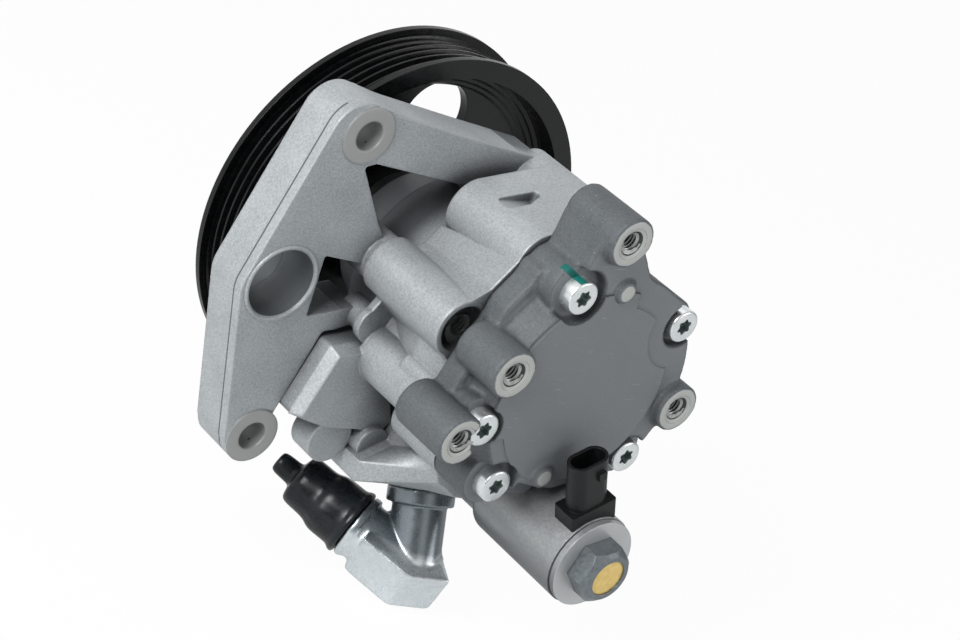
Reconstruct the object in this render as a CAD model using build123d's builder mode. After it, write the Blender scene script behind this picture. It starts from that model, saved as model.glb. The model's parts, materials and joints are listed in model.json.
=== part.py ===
from build123d import *
import math
import os

os.makedirs("parts", exist_ok=True)

# Power steering pump
# A vane pump: cast front housing with its bracket, grooved belt pulley, bolted rear cover with
# threaded bosses, solenoid valve beside the cover and an outlet elbow below.
# Millimetres. Y is the shaft axis with the pulley towards +Y, Z is parallel to the line through
# the bracket's two bolt holes, and the origin is on the shaft in the middle of the belt.
# A station is a distance behind the middle of the belt, towards -Y.

# Fits
running_gap = 0.05        # shaft in its bush, rotor between its plates
slide_gap = 0.03          # spool and armature in their bores
seat_gap = 0.05           # piece pushed into a bore of its own body
moving_gap = 0.3          # faces that pass each other in the open

# Belt pulley
pulley_radius = 70.0
belt_ribs = 6
rib_pitch = 3.56
rib_depth = 2.9
rib_tip_flat = 0.7
rib_crest_drop = 2.6      # below the flanges
groove_wall_share = 0.8   # of a groove's side, the rest is flat
pulley_width = 25.8
flange_wall = 7.0
flange_bore_depth = 8.5   # plain band inside the near flange
step_count = 4            # turned steps between the plain band and the web
step_band = 8.0           # turned steps, measured along the radius
step_rise_share = 0.5
web_thickness = 4.0
web_station = 1.0         # near face of the web
window_radius = 14.0
window_overlap = 1.0      # past the web, into the first step
window_count = 4
window_start = 90.0       # degrees
far_rim_wall = 9.0

# Pulley hub and its screws
hub_flange_radius = 22.0
hub_flange_thickness = 4.0
hub_radius = 14.0
hub_sleeve_radius = 12.5
hub_sleeve_length = 2.5
hub_screw_count = 3
hub_screw_pitch_radius = 17.5
hub_screw_radius = 2.5
hub_screw_head_radius = 4.2
hub_screw_head_height = 3.0
hub_screw_length = 8.0
hub_screw_start = 30.0    # degrees

# Shaft and front bearing
shaft_radius = 8.5
shaft_rear_radius = 7.0
shaft_end_inset = 1.0
spline_radius = 7.6
spline_depth = 0.6
spline_width = 1.6
spline_teeth = 8
end_chamfer = 0.8
bearing_outer_radius = 20.0
bearing_width = 12.0
ball_count = 8
ball_share = 0.287        # ball's radius, as a share of the bearing's section
land_share = 0.183        # from the balls' circle to each ring, in the same way
race_clearance = 0.12
bearing_station = 12.0    # front face of the bearing
circlip_thickness = 1.5
circlip_groove_depth = 1.2
seal_outer_inset = 5.0    # inside the bearing's rim
seal_width = 8.0
seal_wall = 1.2
lip_back_share = 1.5      # of the wall
lip_end_share = 0.8       # of the width
lip_touch_share = 0.65

# Pumping cartridge
cartridge_radius = 33.0
rotor_radius = 20.0
rotor_width = 18.0
vane_count = 10
vane_thickness = 1.4
vane_height = 7.5
vane_round_share = 0.3
slot_root_radius = 1.1
cam_minor_radius = 20.4
cam_major_radius = 22.8
plate_thickness = 8.0
port_angles = (45.0, 135.0, 225.0, 315.0)
port_half_angle = 22.0
port_middle_radius = 21.0
port_width = 3.5
cartridge_station = 51.0  # bottom of the cartridge bore
dowel_radius = 2.0
dowel_pitch_radius = 28.0
bush_wall = 1.5
bush_length = 12.0
o_ring_section = 1.2

# Front housing
joint_station = 90.0      # face between the housing and the rear cover
barrel_front_station = 50.0
barrel_radius = 43.0
nose_station = 8.5
nose_radius = 26.0

# Cover bolts, five on one circle about the shaft
bolt_circle_inset = 2.1   # inside the barrel's rim
bolt_angles = (120.4, 39.0, -37.0, -123.8, -162.5)
bolt_radius = 3.5
bolt_head_radius = 5.8
bolt_head_height = 5.0
bolt_bite = 14.0          # thread length in the housing
cover_lobe_radii = (9.6, 6.8, 9.6, 9.6, 9.6)  # in the order of the bolts

# Bracket
bracket_front_station = 29.7
bracket_rear_station = 46.6
bracket_hole_x = -69.5
bracket_hole_half_span = 54.7
bracket_hole_radius = 5.1
bracket_boss_radius = 9.8
bracket_boss_rise = 0.6
tube_x = -81.2
tube_z = 1.8
tube_bore_radius = 12.0
tube_wall = 2.2

# Side column with its own threaded hole, and the top column
side_column_x = -43.6
side_column_z = 11.8
side_column_radius = 10.0
side_hole_radius = 4.2
side_pocket_depth = 6.0
top_column_x = 8.5
top_column_z = 42.5
top_column_radius = 10.5

# Valve and solenoid, parallel to the shaft
valve_x = 16.1
valve_z = -53.7
valve_bore_radius = 9.0
valve_boss_radius = 14.0
valve_boss_front_station = 36.0
valve_bore_bottom_station = 40.0
spool_length = 20.0
spool_land = 5.0
spool_waist_radius = 5.5
spool_station = 56.0
spring_wire = 0.9
spring_turns = 4.0
can_radius = 16.7
can_wall = 1.5
can_front_station = 83.5
can_rear_station = 126.5
can_edge = 3.0
end_disc_thickness = 2.2
end_disc_gap = 0.3
nut_flats = 19.0
nut_height = 8.3
plug_radius = 6.5
plug_inset = 0.5
core_radius = 6.2
coil_radius = 13.5
coil_length = 30.0
armature_radius = 4.5
armature_length = 14.0
armature_travel = 1.5

# Connector on the can
connector_lean = -26.0    # degrees from Z, about the valve axis
connector_offset = 2.4    # to the side of the valve axis
connector_block_width = 18.0
connector_block_depth = 10.0
connector_block_top = 21.0
connector_half_length = 7.3
connector_half_width = 4.3
connector_wall = 1.1
connector_height = 18.5
connector_socket_depth = 12.0
pin_width = 1.6
pin_spacing = 5.0
pin_height = 6.0

# Rear cover
cover_rim_station = 110.2
cover_plate_station = 111.0
boss_station = 114.3
boss_radius = 8.5
boss_hole_radius = 3.4
boss_hole_chamfer = 1.6
boss_hole_depths = (17.0, 15.7, 14.0)  # bosses A, C and D, B is open right through
boss_a = (-13.9, 56.9)
boss_b = (-40.0, 9.8)
boss_c = (-50.6, -14.0)
boss_d = (42.7, -3.8)
stud_radius = 4.0
stud_a = (-3.9, 38.4)
spigot_length = 5.0

# Elbow fitting under the housing
stem_x = 1.5
stem_z = -72.7
stem_station = 62.0
stem_tilt = 25.9          # degrees from straight down, towards the rear
stem_lean = -4.8          # degrees, towards +X
stem_radius = 9.5
stem_bore_radius = 5.5
outlet_bore_radius = 5.0
bore_overrun = 2.0
collar_radius = 11.8
collar_height = 5.6
stem_insert = 5.0
outlet_turn = 31.6        # degrees from +Y, towards -X
outlet_rise = 13.8        # degrees above level
block_roll = 17.0         # degrees about the outlet
block_width = 22.0
block_height = 20.6
block_top = 8.75          # from the outlet's axis, the rest of the height lies below it
block_chamfer = 3.2
block_front = 19.0        # along the outlet, from the elbow's centre
block_mitre = -1.0
block_tail = -13.0
recess_height = 8.0       # shallow recess on each mitred face
recess_rise = 0.6
recess_width = 11.0
recess_corner = 1.0
recess_depth = 0.7
neck_radius = 8.6
neck_ring_radius = 12.0
neck_ring_width = 2.8
neck_length = 44.0
cap_rim_radius = 12.4
cap_shoulder_radius = 9.6
cap_tip_radius = 4.2

# Housing outlines, as X and Z with corner radii where they differ
nose_foot_station = 20.0
shoulder_station = 28.0
shoulder_radius = 36.0
barrel_full_station = 74.0
bolt_column_radii = (9.6, 6.8, 9.6, 9.6, 5.5)
bolt_column_stations = (53.0, 53.0, 56.0, 66.0, 72.0)
lower_column = (-36.0, -18.5)
lower_column_radius = 10.0
lower_column_station = 54.0
lower_fill = ((-52.0, 6.5), (-37.4, -5.2), (-38.9, -9.8), (-25.0, -14.0), (-25.0, 12.0))
top_bolt_column_radius = 11.0
side_column_neck_radius = 8.5
top_column_station = 42.0
web_thickness_bracket = 6.0
plate_outline = (
    (-81.4, 67.4, 11.0),
    (-60.0, 62.4, 1.0),
    (-61.8, 45.2, 1.0),
    (-66.3, 43.8, 1.0),
    (-51.9, 24.8, 1.5),
    (-45.9, 18.0, 1.0),
    (-44.0, 10.0, 0.5),
    (-50.4, 9.7, 0.5),
    (-68.1, 12.2, 1.0),
    (-66.0, -10.2, 1.0),
    (-46.0, -5.8, 0.5),
    (-44.0, -12.0, 0.5),
    (-52.5, -14.8, 1.0),
    (-57.0, -15.5, 2.0),
    (-64.0, -46.0, 2.0),
    (-66.0, -60.0, 2.0),
    (-78.0, -62.0, 8.0),
    (-96.5, 0.0, 12.0),
)
arm_outline = ((-70.0, 64.4), (-56.0, 61.5), (-18.0, 55.3), (10.0, 51.0), (14.0, 30.0),
               (-10.0, 30.0), (-14.0, 38.6), (-20.0, 39.7), (-61.8, 45.2), (-72.0, 52.0))
arm_corner_radius = 0.8
upper_pocket = ((-77.0, 43.0), (-70.5, 41.0), (-57.5, 24.5), (-58.0, 16.0), (-67.0, 17.5), (-86.0, 19.0))
lower_pocket = ((-88.5, -13.5), (-71.5, -14.0), (-67.0, -42.0), (-79.0, -43.0))
arm_pocket = ((-55.0, 57.5), (-18.0, 51.3), (-18.0, 43.6), (-55.0, 48.5))
pocket_corner_radius = 2.5
lug_centre = (-43.2, -8.8)
lug_radius = 5.3
lug_front_station = 41.0
lug_flange_radius = 6.7
lug_flange_station = 51.3
lug_station = 54.3
lug_fin = ((-47.2, -4.0), (-44.6, 1.0), (-42.0, 4.0), (-32.0, 4.0), (-32.0, -16.0), (-40.5, -15.2))
chamber_outline = ((-56.5, -17.5), (-42.0, -15.2), (-33.0, -22.5), (-24.5, -33.5), (-19.0, -44.5),
                   (-22.5, -50.0), (-49.0, -47.8), (-63.0, -43.0))
chamber_corner_radius = 2.0
chamber_front_station = 41.0
chamber_bevel_station = 52.0
chamber_rear_station = 56.3
chamber_bevel = 24.0      # degrees
bumps = ((-42.5, -52.5, 8.6, 54.0), (-27.5, -52.0, 6.2, 58.5))  # X, Z, radius and rear station
bump_front_station = 44.0
block_front_outline = ((-18.0, -25.0), (-22.0, -50.0), (-34.0, -56.0), (-33.0, -63.9),
                       (-10.0, -66.3), (14.0, -65.6), (30.0, -48.0), (30.0, -20.0))
block_rear_outline = ((-18.0, -25.0), (-23.0, -38.0), (-21.0, -46.0), (-18.0, -51.0),
                      (-8.0, -57.0), (10.0, -60.0), (28.0, -46.0), (30.0, -20.0))
block_front_station = 48.0
block_slope_station = 62.0
port_boss_radius = 12.4
port_boss_length = 14.0
port_face_rise = 4.0
can_room = 1.3
bolt_hole_spare = 2.0
side_pocket_radius = 8.2
side_hole_depth = 18.0
cast_pocket = ((-25.5, 65.6), (-8.5, 65.6), (-11.0, 69.0), (-17.0, 72.0), (-25.5, 72.0))  # X and station
cast_pocket_corner = 1.5
cast_pocket_floor = 45.0
cast_pocket_height = 12.0
top_fill = ((-24.0, 45.8), (6.0, 52.7), (10.0, 30.0), (-20.0, 28.0))
side_fill = ((-31.5, 36.5), (-38.5, 26.0), (-46.0, 21.0), (-36.0, 8.0), (-20.0, 28.0))
side_fill_length = 38.0
side_fill_taper = 9.0

# Rear cover outlines
cover_flange_thickness = 6.0
cover_slope_station = 95.0
cover_top_radius = 38.0
cover_straight_x = 45.0
cover_straight_turn = -15.0
head_seat_station = 105.8
relief_radii = (9.4, 8.0, 7.6, 8.6, 7.2)
boss_b_front_station = 94.0
boss_a_neck = ((-22.4, 56.0), (-24.0, 38.0), (6.0, 30.0), (31.0, 34.8), (27.9, 34.6), (6.6, 43.2), (-5.4, 57.0))
cover_side = ((-21.0, 45.5), (-31.5, 38.0), (-32.5, 33.5), (-38.3, 24.8), (-39.7, 16.6),
              (-42.5, 11.4), (-44.7, 4.3), (-47.5, -9.0), (-40.0, -24.0), (-20.0, 0.0), (-10.0, 30.0))
cover_side_height = 9.5
cover_rib = ((-37.0, 18.2), (-26.5, 25.8), (-25.6, 24.6), (-36.1, 17.0))
cover_rib_height = 14.0
cover_chord = ((-13.2, -32.0), (-12.0, -33.8), (4.0, -36.6), (14.0, -34.0), (16.0, -50.0), (-13.2, -50.0))
cover_chord_station = 103.0
smooth_plate_radius = 33.0
smooth_plate_notch_radius = 15.4
stud_b = (-4.3, -30.5)
stud_station = 112.5
o_ring_groove_depth = 2.5
o_ring_groove_width = 3.0
bush_bottom_room = 1.0
bolt_head_chamfer = 0.6

# Small values of the inner pieces
cage_wall = 2.4
cage_width = 9.0
cage_gap = 0.15
circlip_gap = 6.0
seal_shoulder = 1.0
shaft_passage_radius = 9.1
dowel_angle = 45.0
dowel_overhang = 2.0
vane_tip_gap = 0.15
spring_radius = 6.4
can_front_wall = 3.5
core_snout_station = 80.5
core_rear_station = 124.0
armature_station = 100.0
rod_radius = 1.6
end_disc_radius = 16.2
end_disc_insert = 2.0
nut_turn = 15.0
nut_face_radius = 8.3
nut_chamfer_angle = 45.0
connector_station = 121.0
connector_block_bottom = 9.0
connector_edge = 0.8
latch_drop = 4.0
latch_offset = 2.5
latch_width = 3.0
latch_rise = 1.0
latch_height = 3.0
pin_thickness = 0.8
pin_root = 3.0
stem_drop = 25.2
neck_ring_start = 22.5
neck_root_radius = 10.6
cap_start = 25.5
cap_rim_width = 2.2
cap_body_radius = 11.4
cap_body_at = 37.5
cap_shoulder_at = 51.0
cap_shoulder_bevel = 2.5
cap_tip_at = 60.0
cap_tip_bevel = 1.2


def at_station(station):
    """Sketch plane across the shaft, facing the rear, at a distance behind the belt."""
    return Plane.XZ.offset(station)


def on_circle(radius, degrees):
    """Point of a circle about the shaft, as X and Z."""
    angle = math.radians(degrees)
    return (radius * math.cos(angle), radius * math.sin(angle))


bolt_circle_radius = barrel_radius - bolt_circle_inset
bolt_points = [on_circle(bolt_circle_radius, angle) for angle in bolt_angles]

# Pulley
# Half section about the shaft: flange, belt grooves, far flange, web and turned steps.
pulley_half = pulley_width / 2
rib_crest_radius = pulley_radius - rib_crest_drop
flange_inner_radius = pulley_radius - flange_wall
far_bore_radius = pulley_radius - far_rim_wall
web_outer_radius = flange_inner_radius - step_band
window_pitch_radius = web_outer_radius + window_overlap - window_radius
flange_thickness = (pulley_width - belt_ribs * rib_pitch) / 2
groove_points = []
for rib in range(belt_ribs):
    groove_start = -pulley_half + flange_thickness + rib * rib_pitch
    groove_side = (rib_pitch - rib_tip_flat) / 2
    groove_points += [
        (rib_crest_radius, groove_start + rib_tip_flat / 2),
        (rib_crest_radius - rib_depth, groove_start + rib_tip_flat / 2 + groove_side * groove_wall_share),
        (rib_crest_radius - rib_depth, groove_start + rib_pitch - rib_tip_flat / 2 - groove_side * groove_wall_share),
        (rib_crest_radius, groove_start + rib_pitch - rib_tip_flat / 2),
    ]
step_height = (flange_inner_radius - web_outer_radius) / step_count
step_depth = (pulley_half - flange_bore_depth - web_station) / step_count
step_points = []
for step in range(step_count):
    step_radius = web_outer_radius + step * step_height
    step_y = -web_station - step * step_depth
    step_points += [(step_radius, step_y), (step_radius + step_height * step_rise_share, step_y - step_depth)]
with BuildPart() as pulley:
    with BuildSketch(Plane.XY):
        with BuildLine():
            Polyline(
                (hub_radius + seat_gap, -web_station),
                *step_points,
                (flange_inner_radius, -web_station - step_count * step_depth),
                (flange_inner_radius, -pulley_half),
                (pulley_radius, -pulley_half),
                (pulley_radius, -pulley_half + flange_thickness),
                *groove_points,
                (pulley_radius, pulley_half - flange_thickness),
                (pulley_radius, pulley_half),
                (far_bore_radius, pulley_half),
                (far_bore_radius, web_thickness - web_station),
                (hub_radius + seat_gap, web_thickness - web_station),
                close=True,
            )
        make_face()
    revolve(axis=Axis.Y)
    with BuildSketch(at_station(web_station)):
        with PolarLocations(window_pitch_radius, window_count, start_angle=window_start):
            Circle(window_radius)
        with PolarLocations(hub_screw_pitch_radius, hub_screw_count, start_angle=hub_screw_start):
            Circle(hub_screw_radius + seat_gap)
    extrude(amount=-2 * web_thickness, mode=Mode.SUBTRACT)
pulley.part.label = "pulley"
export_step(pulley.part, "parts/pulley.step")

# Pulley hub
# A flanged hub pressed on the shaft; the pulley centres on its spigot.
hub_front_station = web_station - web_thickness
hub_flange_rear = web_station + hub_flange_thickness
hub_rear_station = hub_flange_rear + hub_sleeve_length
with BuildPart() as pulley_hub:
    with BuildSketch(at_station(hub_front_station)):
        Circle(hub_radius)
    extrude(amount=web_thickness)
    with BuildSketch(at_station(web_station)):
        Circle(hub_flange_radius)
    extrude(amount=hub_flange_thickness)
    with BuildSketch(at_station(hub_flange_rear)):
        Circle(hub_sleeve_radius)
    extrude(amount=hub_sleeve_length)
    with BuildSketch(at_station(hub_front_station)):
        Circle(shaft_radius + seat_gap)
    extrude(amount=hub_rear_station - hub_front_station, mode=Mode.SUBTRACT)
    with BuildSketch(at_station(web_station)):
        with PolarLocations(hub_screw_pitch_radius, hub_screw_count, start_angle=hub_screw_start):
            Circle(hub_screw_radius + seat_gap)
    extrude(amount=hub_flange_thickness, mode=Mode.SUBTRACT)
pulley_hub.part.label = "pulley_hub"
export_step(pulley_hub.part, "parts/pulley_hub.step")

# Pulley screws
with BuildPart() as pulley_screws:
    with BuildSketch(at_station(hub_front_station - hub_screw_head_height)):
        with PolarLocations(hub_screw_pitch_radius, hub_screw_count, start_angle=hub_screw_start):
            Circle(hub_screw_head_radius)
    extrude(amount=hub_screw_head_height)
    with BuildSketch(at_station(hub_front_station)):
        with PolarLocations(hub_screw_pitch_radius, hub_screw_count, start_angle=hub_screw_start):
            Circle(hub_screw_radius)
    extrude(amount=hub_screw_length)
pulley_screws.part.label = "pulley_screws"
export_step(pulley_screws.part, "parts/pulley_screws.step")

# Stations of the pumping cartridge, from the bottom of its bore to the cover
cam_front_station = cartridge_station + plate_thickness
cam_rear_station = cam_front_station + rotor_width + 2 * running_gap
spigot_station = joint_station - spigot_length
rear_plate_thickness = spigot_station - cam_rear_station
rotor_station = cam_front_station + running_gap
bush_station = spigot_station
shaft_front_station = hub_front_station + shaft_end_inset
shaft_rear_station = bush_station + bush_length - shaft_end_inset

# Drive shaft
with BuildPart() as drive_shaft:
    with BuildSketch(at_station(shaft_front_station)):
        Circle(shaft_radius)
    extrude(amount=cartridge_station - shaft_front_station)
    with BuildSketch(at_station(cartridge_station)):
        Circle(shaft_rear_radius)
    extrude(amount=shaft_rear_station - cartridge_station)
    with BuildSketch(at_station(rotor_station - plate_thickness / 2)):
        Circle(spline_radius)
        with PolarLocations(spline_radius, spline_teeth):
            Rectangle(2 * spline_depth, spline_width)
    extrude(amount=rotor_width + plate_thickness / 2)
    chamfer(drive_shaft.edges().filter_by(GeomType.CIRCLE).group_by(Axis.Y)[-1], end_chamfer)
    chamfer(drive_shaft.edges().filter_by(GeomType.CIRCLE).group_by(Axis.Y)[0], end_chamfer)
drive_shaft.part.label = "drive_shaft"
export_step(drive_shaft.part, "parts/drive_shaft.step")

# Section of the front bearing
bearing_section = bearing_outer_radius - shaft_radius
ball_radius = bearing_section * ball_share
ball_pitch_radius = shaft_radius + bearing_section / 2
ring_land = bearing_section * land_share

# Stations of the nose bore, from the circlip to the seal
bearing_rear_station = bearing_station + bearing_width
circlip_station = bearing_station - circlip_thickness - 2 * seat_gap
circlip_groove_radius = bearing_outer_radius + circlip_groove_depth + seat_gap
seal_outer_radius = bearing_outer_radius - seal_outer_inset
seal_station = bearing_rear_station + seal_shoulder
seal_rear_station = seal_station + seal_width + seal_shoulder

# Front bearing
# Ball bearing in the nose: grooved rings, eight balls and their cage.
bearing_middle = bearing_station + bearing_width / 2
ring_middle = (ball_pitch_radius, -bearing_middle)
outer_ring_bore = ball_pitch_radius + ring_land
inner_ring_rim = ball_pitch_radius - ring_land
inner_ring_bore = shaft_radius + seat_gap
with BuildPart() as bearing_outer_ring:
    with BuildSketch(Plane.XY):
        with Locations(((outer_ring_bore + bearing_outer_radius) / 2, -bearing_middle)):
            Rectangle(bearing_outer_radius - outer_ring_bore, bearing_width)
        with Locations(ring_middle):
            Circle(ball_radius + race_clearance, mode=Mode.SUBTRACT)
    revolve(axis=Axis.Y)
bearing_outer_ring.part.label = "bearing_outer_ring"
export_step(bearing_outer_ring.part, "parts/bearing_outer_ring.step")

with BuildPart() as bearing_inner_ring:
    with BuildSketch(Plane.XY):
        with Locations(((inner_ring_bore + inner_ring_rim) / 2, -bearing_middle)):
            Rectangle(inner_ring_rim - inner_ring_bore, bearing_width)
        with Locations(ring_middle):
            Circle(ball_radius + race_clearance, mode=Mode.SUBTRACT)
    revolve(axis=Axis.Y)
bearing_inner_ring.part.label = "bearing_inner_ring"
export_step(bearing_inner_ring.part, "parts/bearing_inner_ring.step")

with BuildPart(at_station(bearing_middle)) as bearing_balls:
    with PolarLocations(ball_pitch_radius, ball_count):
        Sphere(ball_radius)
bearing_balls.part.label = "bearing_balls"
export_step(bearing_balls.part, "parts/bearing_balls.step")

with BuildPart(at_station(bearing_middle)) as bearing_cage:
    Cylinder(ball_pitch_radius + cage_wall / 2, cage_width)
    Cylinder(ball_pitch_radius - cage_wall / 2, cage_width, mode=Mode.SUBTRACT)
    with PolarLocations(ball_pitch_radius, ball_count):
        Cylinder(ball_radius + cage_gap, 2 * cage_wall, rotation=(0, 90, 0), mode=Mode.SUBTRACT)
bearing_cage.part.label = "bearing_cage"
export_step(bearing_cage.part, "parts/bearing_cage.step")

# Bearing circlip
# Open spring ring in the nose's groove, in front of the bearing.
circlip_outer_radius = bearing_outer_radius + circlip_groove_depth
with BuildPart() as bearing_circlip:
    with BuildSketch(at_station(bearing_station - circlip_thickness)):
        Circle(circlip_outer_radius)
        Circle(bearing_outer_radius - circlip_groove_depth, mode=Mode.SUBTRACT)
        with Locations((0, circlip_outer_radius)):
            Rectangle(circlip_gap, 2 * circlip_outer_radius - 2 * bearing_outer_radius + circlip_gap,
                      mode=Mode.SUBTRACT)
    extrude(amount=circlip_thickness)
bearing_circlip.part.label = "bearing_circlip"
export_step(bearing_circlip.part, "parts/bearing_circlip.step")

# Shaft seal
# Lip seal behind the bearing, its lip just off the shaft.
lip_radius = shaft_radius + running_gap
with BuildPart() as shaft_seal:
    with BuildSketch(Plane.XY):
        with BuildLine():
            Polyline(
                (seal_outer_radius, -seal_station),
                (seal_outer_radius, -seal_station - seal_width),
                (seal_outer_radius - seal_wall, -seal_station - seal_width),
                (seal_outer_radius - seal_wall, -seal_station - seal_wall),
                (lip_radius + 2 * seal_wall, -seal_station - seal_wall),
                (lip_radius + lip_back_share * seal_wall, -seal_station - seal_width * lip_end_share),
                (lip_radius, -seal_station - seal_width * lip_touch_share),
                (lip_radius + seal_wall, -seal_station - seal_wall),
                (lip_radius + seal_wall, -seal_station),
                close=True,
            )
        make_face()
    revolve(axis=Axis.Y)
shaft_seal.part.label = "shaft_seal"
export_step(shaft_seal.part, "parts/shaft_seal.step")

# Pressure plates
# Two plates close the cam ring; each has two inlet and two outlet ports and the pin holes.
plate_stations = {
    "front_pressure_plate": (cartridge_station, plate_thickness),
    "rear_pressure_plate": (cam_rear_station, rear_plate_thickness),
}
for plate_name, (plate_station, thickness) in plate_stations.items():
    with BuildPart() as pressure_plate:
        with BuildSketch(at_station(plate_station)):
            Circle(cartridge_radius)
            Circle(spline_radius + spline_depth + moving_gap, mode=Mode.SUBTRACT)
            with PolarLocations(dowel_pitch_radius, 2, start_angle=dowel_angle):
                Circle(dowel_radius + seat_gap, mode=Mode.SUBTRACT)
            for port_angle in port_angles:
                port_arc = CenterArc((0, 0), port_middle_radius, port_angle - port_half_angle,
                                     2 * port_half_angle, mode=Mode.PRIVATE)
                SlotArc(port_arc, port_width, mode=Mode.SUBTRACT)
        extrude(amount=thickness)
    pressure_plate.part.label = plate_name
    export_step(pressure_plate.part, f"parts/{plate_name}.step")

# Cam ring
with BuildPart() as cam_ring:
    with BuildSketch(at_station(cam_front_station)):
        Circle(cartridge_radius)
        Ellipse(cam_major_radius, cam_minor_radius, mode=Mode.SUBTRACT)
        with PolarLocations(dowel_pitch_radius, 2, start_angle=dowel_angle):
            Circle(dowel_radius + seat_gap, mode=Mode.SUBTRACT)
    extrude(amount=cam_rear_station - cam_front_station)
cam_ring.part.label = "cam_ring"
export_step(cam_ring.part, "parts/cam_ring.step")

# Dowel pins
with BuildPart() as dowel_pins:
    with BuildSketch(at_station(cartridge_station - dowel_overhang)):
        with PolarLocations(dowel_pitch_radius, 2, start_angle=dowel_angle):
            Circle(dowel_radius)
    extrude(amount=spigot_station - cartridge_station + 2 * dowel_overhang)
dowel_pins.part.label = "dowel_pins"
export_step(dowel_pins.part, "parts/dowel_pins.step")

# Rotor
vane_tip_radius = cam_minor_radius - vane_tip_gap
slot_root = vane_tip_radius - vane_height - slot_root_radius
with BuildPart() as rotor:
    with BuildSketch(at_station(rotor_station)):
        Circle(rotor_radius)
        Circle(spline_radius + seat_gap, mode=Mode.SUBTRACT)
        with PolarLocations(spline_radius + seat_gap, spline_teeth):
            Rectangle(2 * spline_depth, spline_width + 2 * seat_gap, mode=Mode.SUBTRACT)
        with PolarLocations((rotor_radius + slot_root) / 2, vane_count):
            Rectangle(rotor_radius - slot_root, vane_thickness + 2 * slide_gap, mode=Mode.SUBTRACT)
        with PolarLocations(slot_root, vane_count):
            Circle(slot_root_radius, mode=Mode.SUBTRACT)
    extrude(amount=rotor_width)
rotor.part.label = "rotor"
export_step(rotor.part, "parts/rotor.step")

# Vanes
# Sliding blades, drawn in their slots as they stand at the narrow part of the cam.
for vane_index in range(vane_count):
    vane_name = f"vane_{vane_index + 1:02d}"
    with BuildPart() as vane:
        with BuildSketch(at_station(rotor_station)):
            with PolarLocations(vane_tip_radius - vane_height / 2, 1,
                                start_angle=vane_index * 360 / vane_count):
                RectangleRounded(vane_height, vane_thickness, vane_thickness * vane_round_share)
        extrude(amount=rotor_width)
    vane.part.label = vane_name
    export_step(vane.part, f"parts/{vane_name}.step")

# Rear bush
# Plain bush in the cover for the rear end of the shaft.
with BuildPart() as rear_bush:
    with BuildSketch(at_station(bush_station)):
        Circle(shaft_rear_radius + running_gap + bush_wall)
        Circle(shaft_rear_radius + running_gap, mode=Mode.SUBTRACT)
    extrude(amount=bush_length)
rear_bush.part.label = "rear_bush"
export_step(rear_bush.part, "parts/rear_bush.step")

# Cover seal ring
o_ring_radius = cartridge_radius - o_ring_section
o_ring_station = spigot_station + spigot_length / 2
with BuildPart() as cover_o_ring:
    with BuildSketch(Plane.XY):
        with Locations((o_ring_radius, -o_ring_station)):
            Circle(o_ring_section)
    revolve(axis=Axis.Y)
cover_o_ring.part.label = "cover_o_ring"
export_step(cover_o_ring.part, "parts/cover_o_ring.step")

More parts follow.
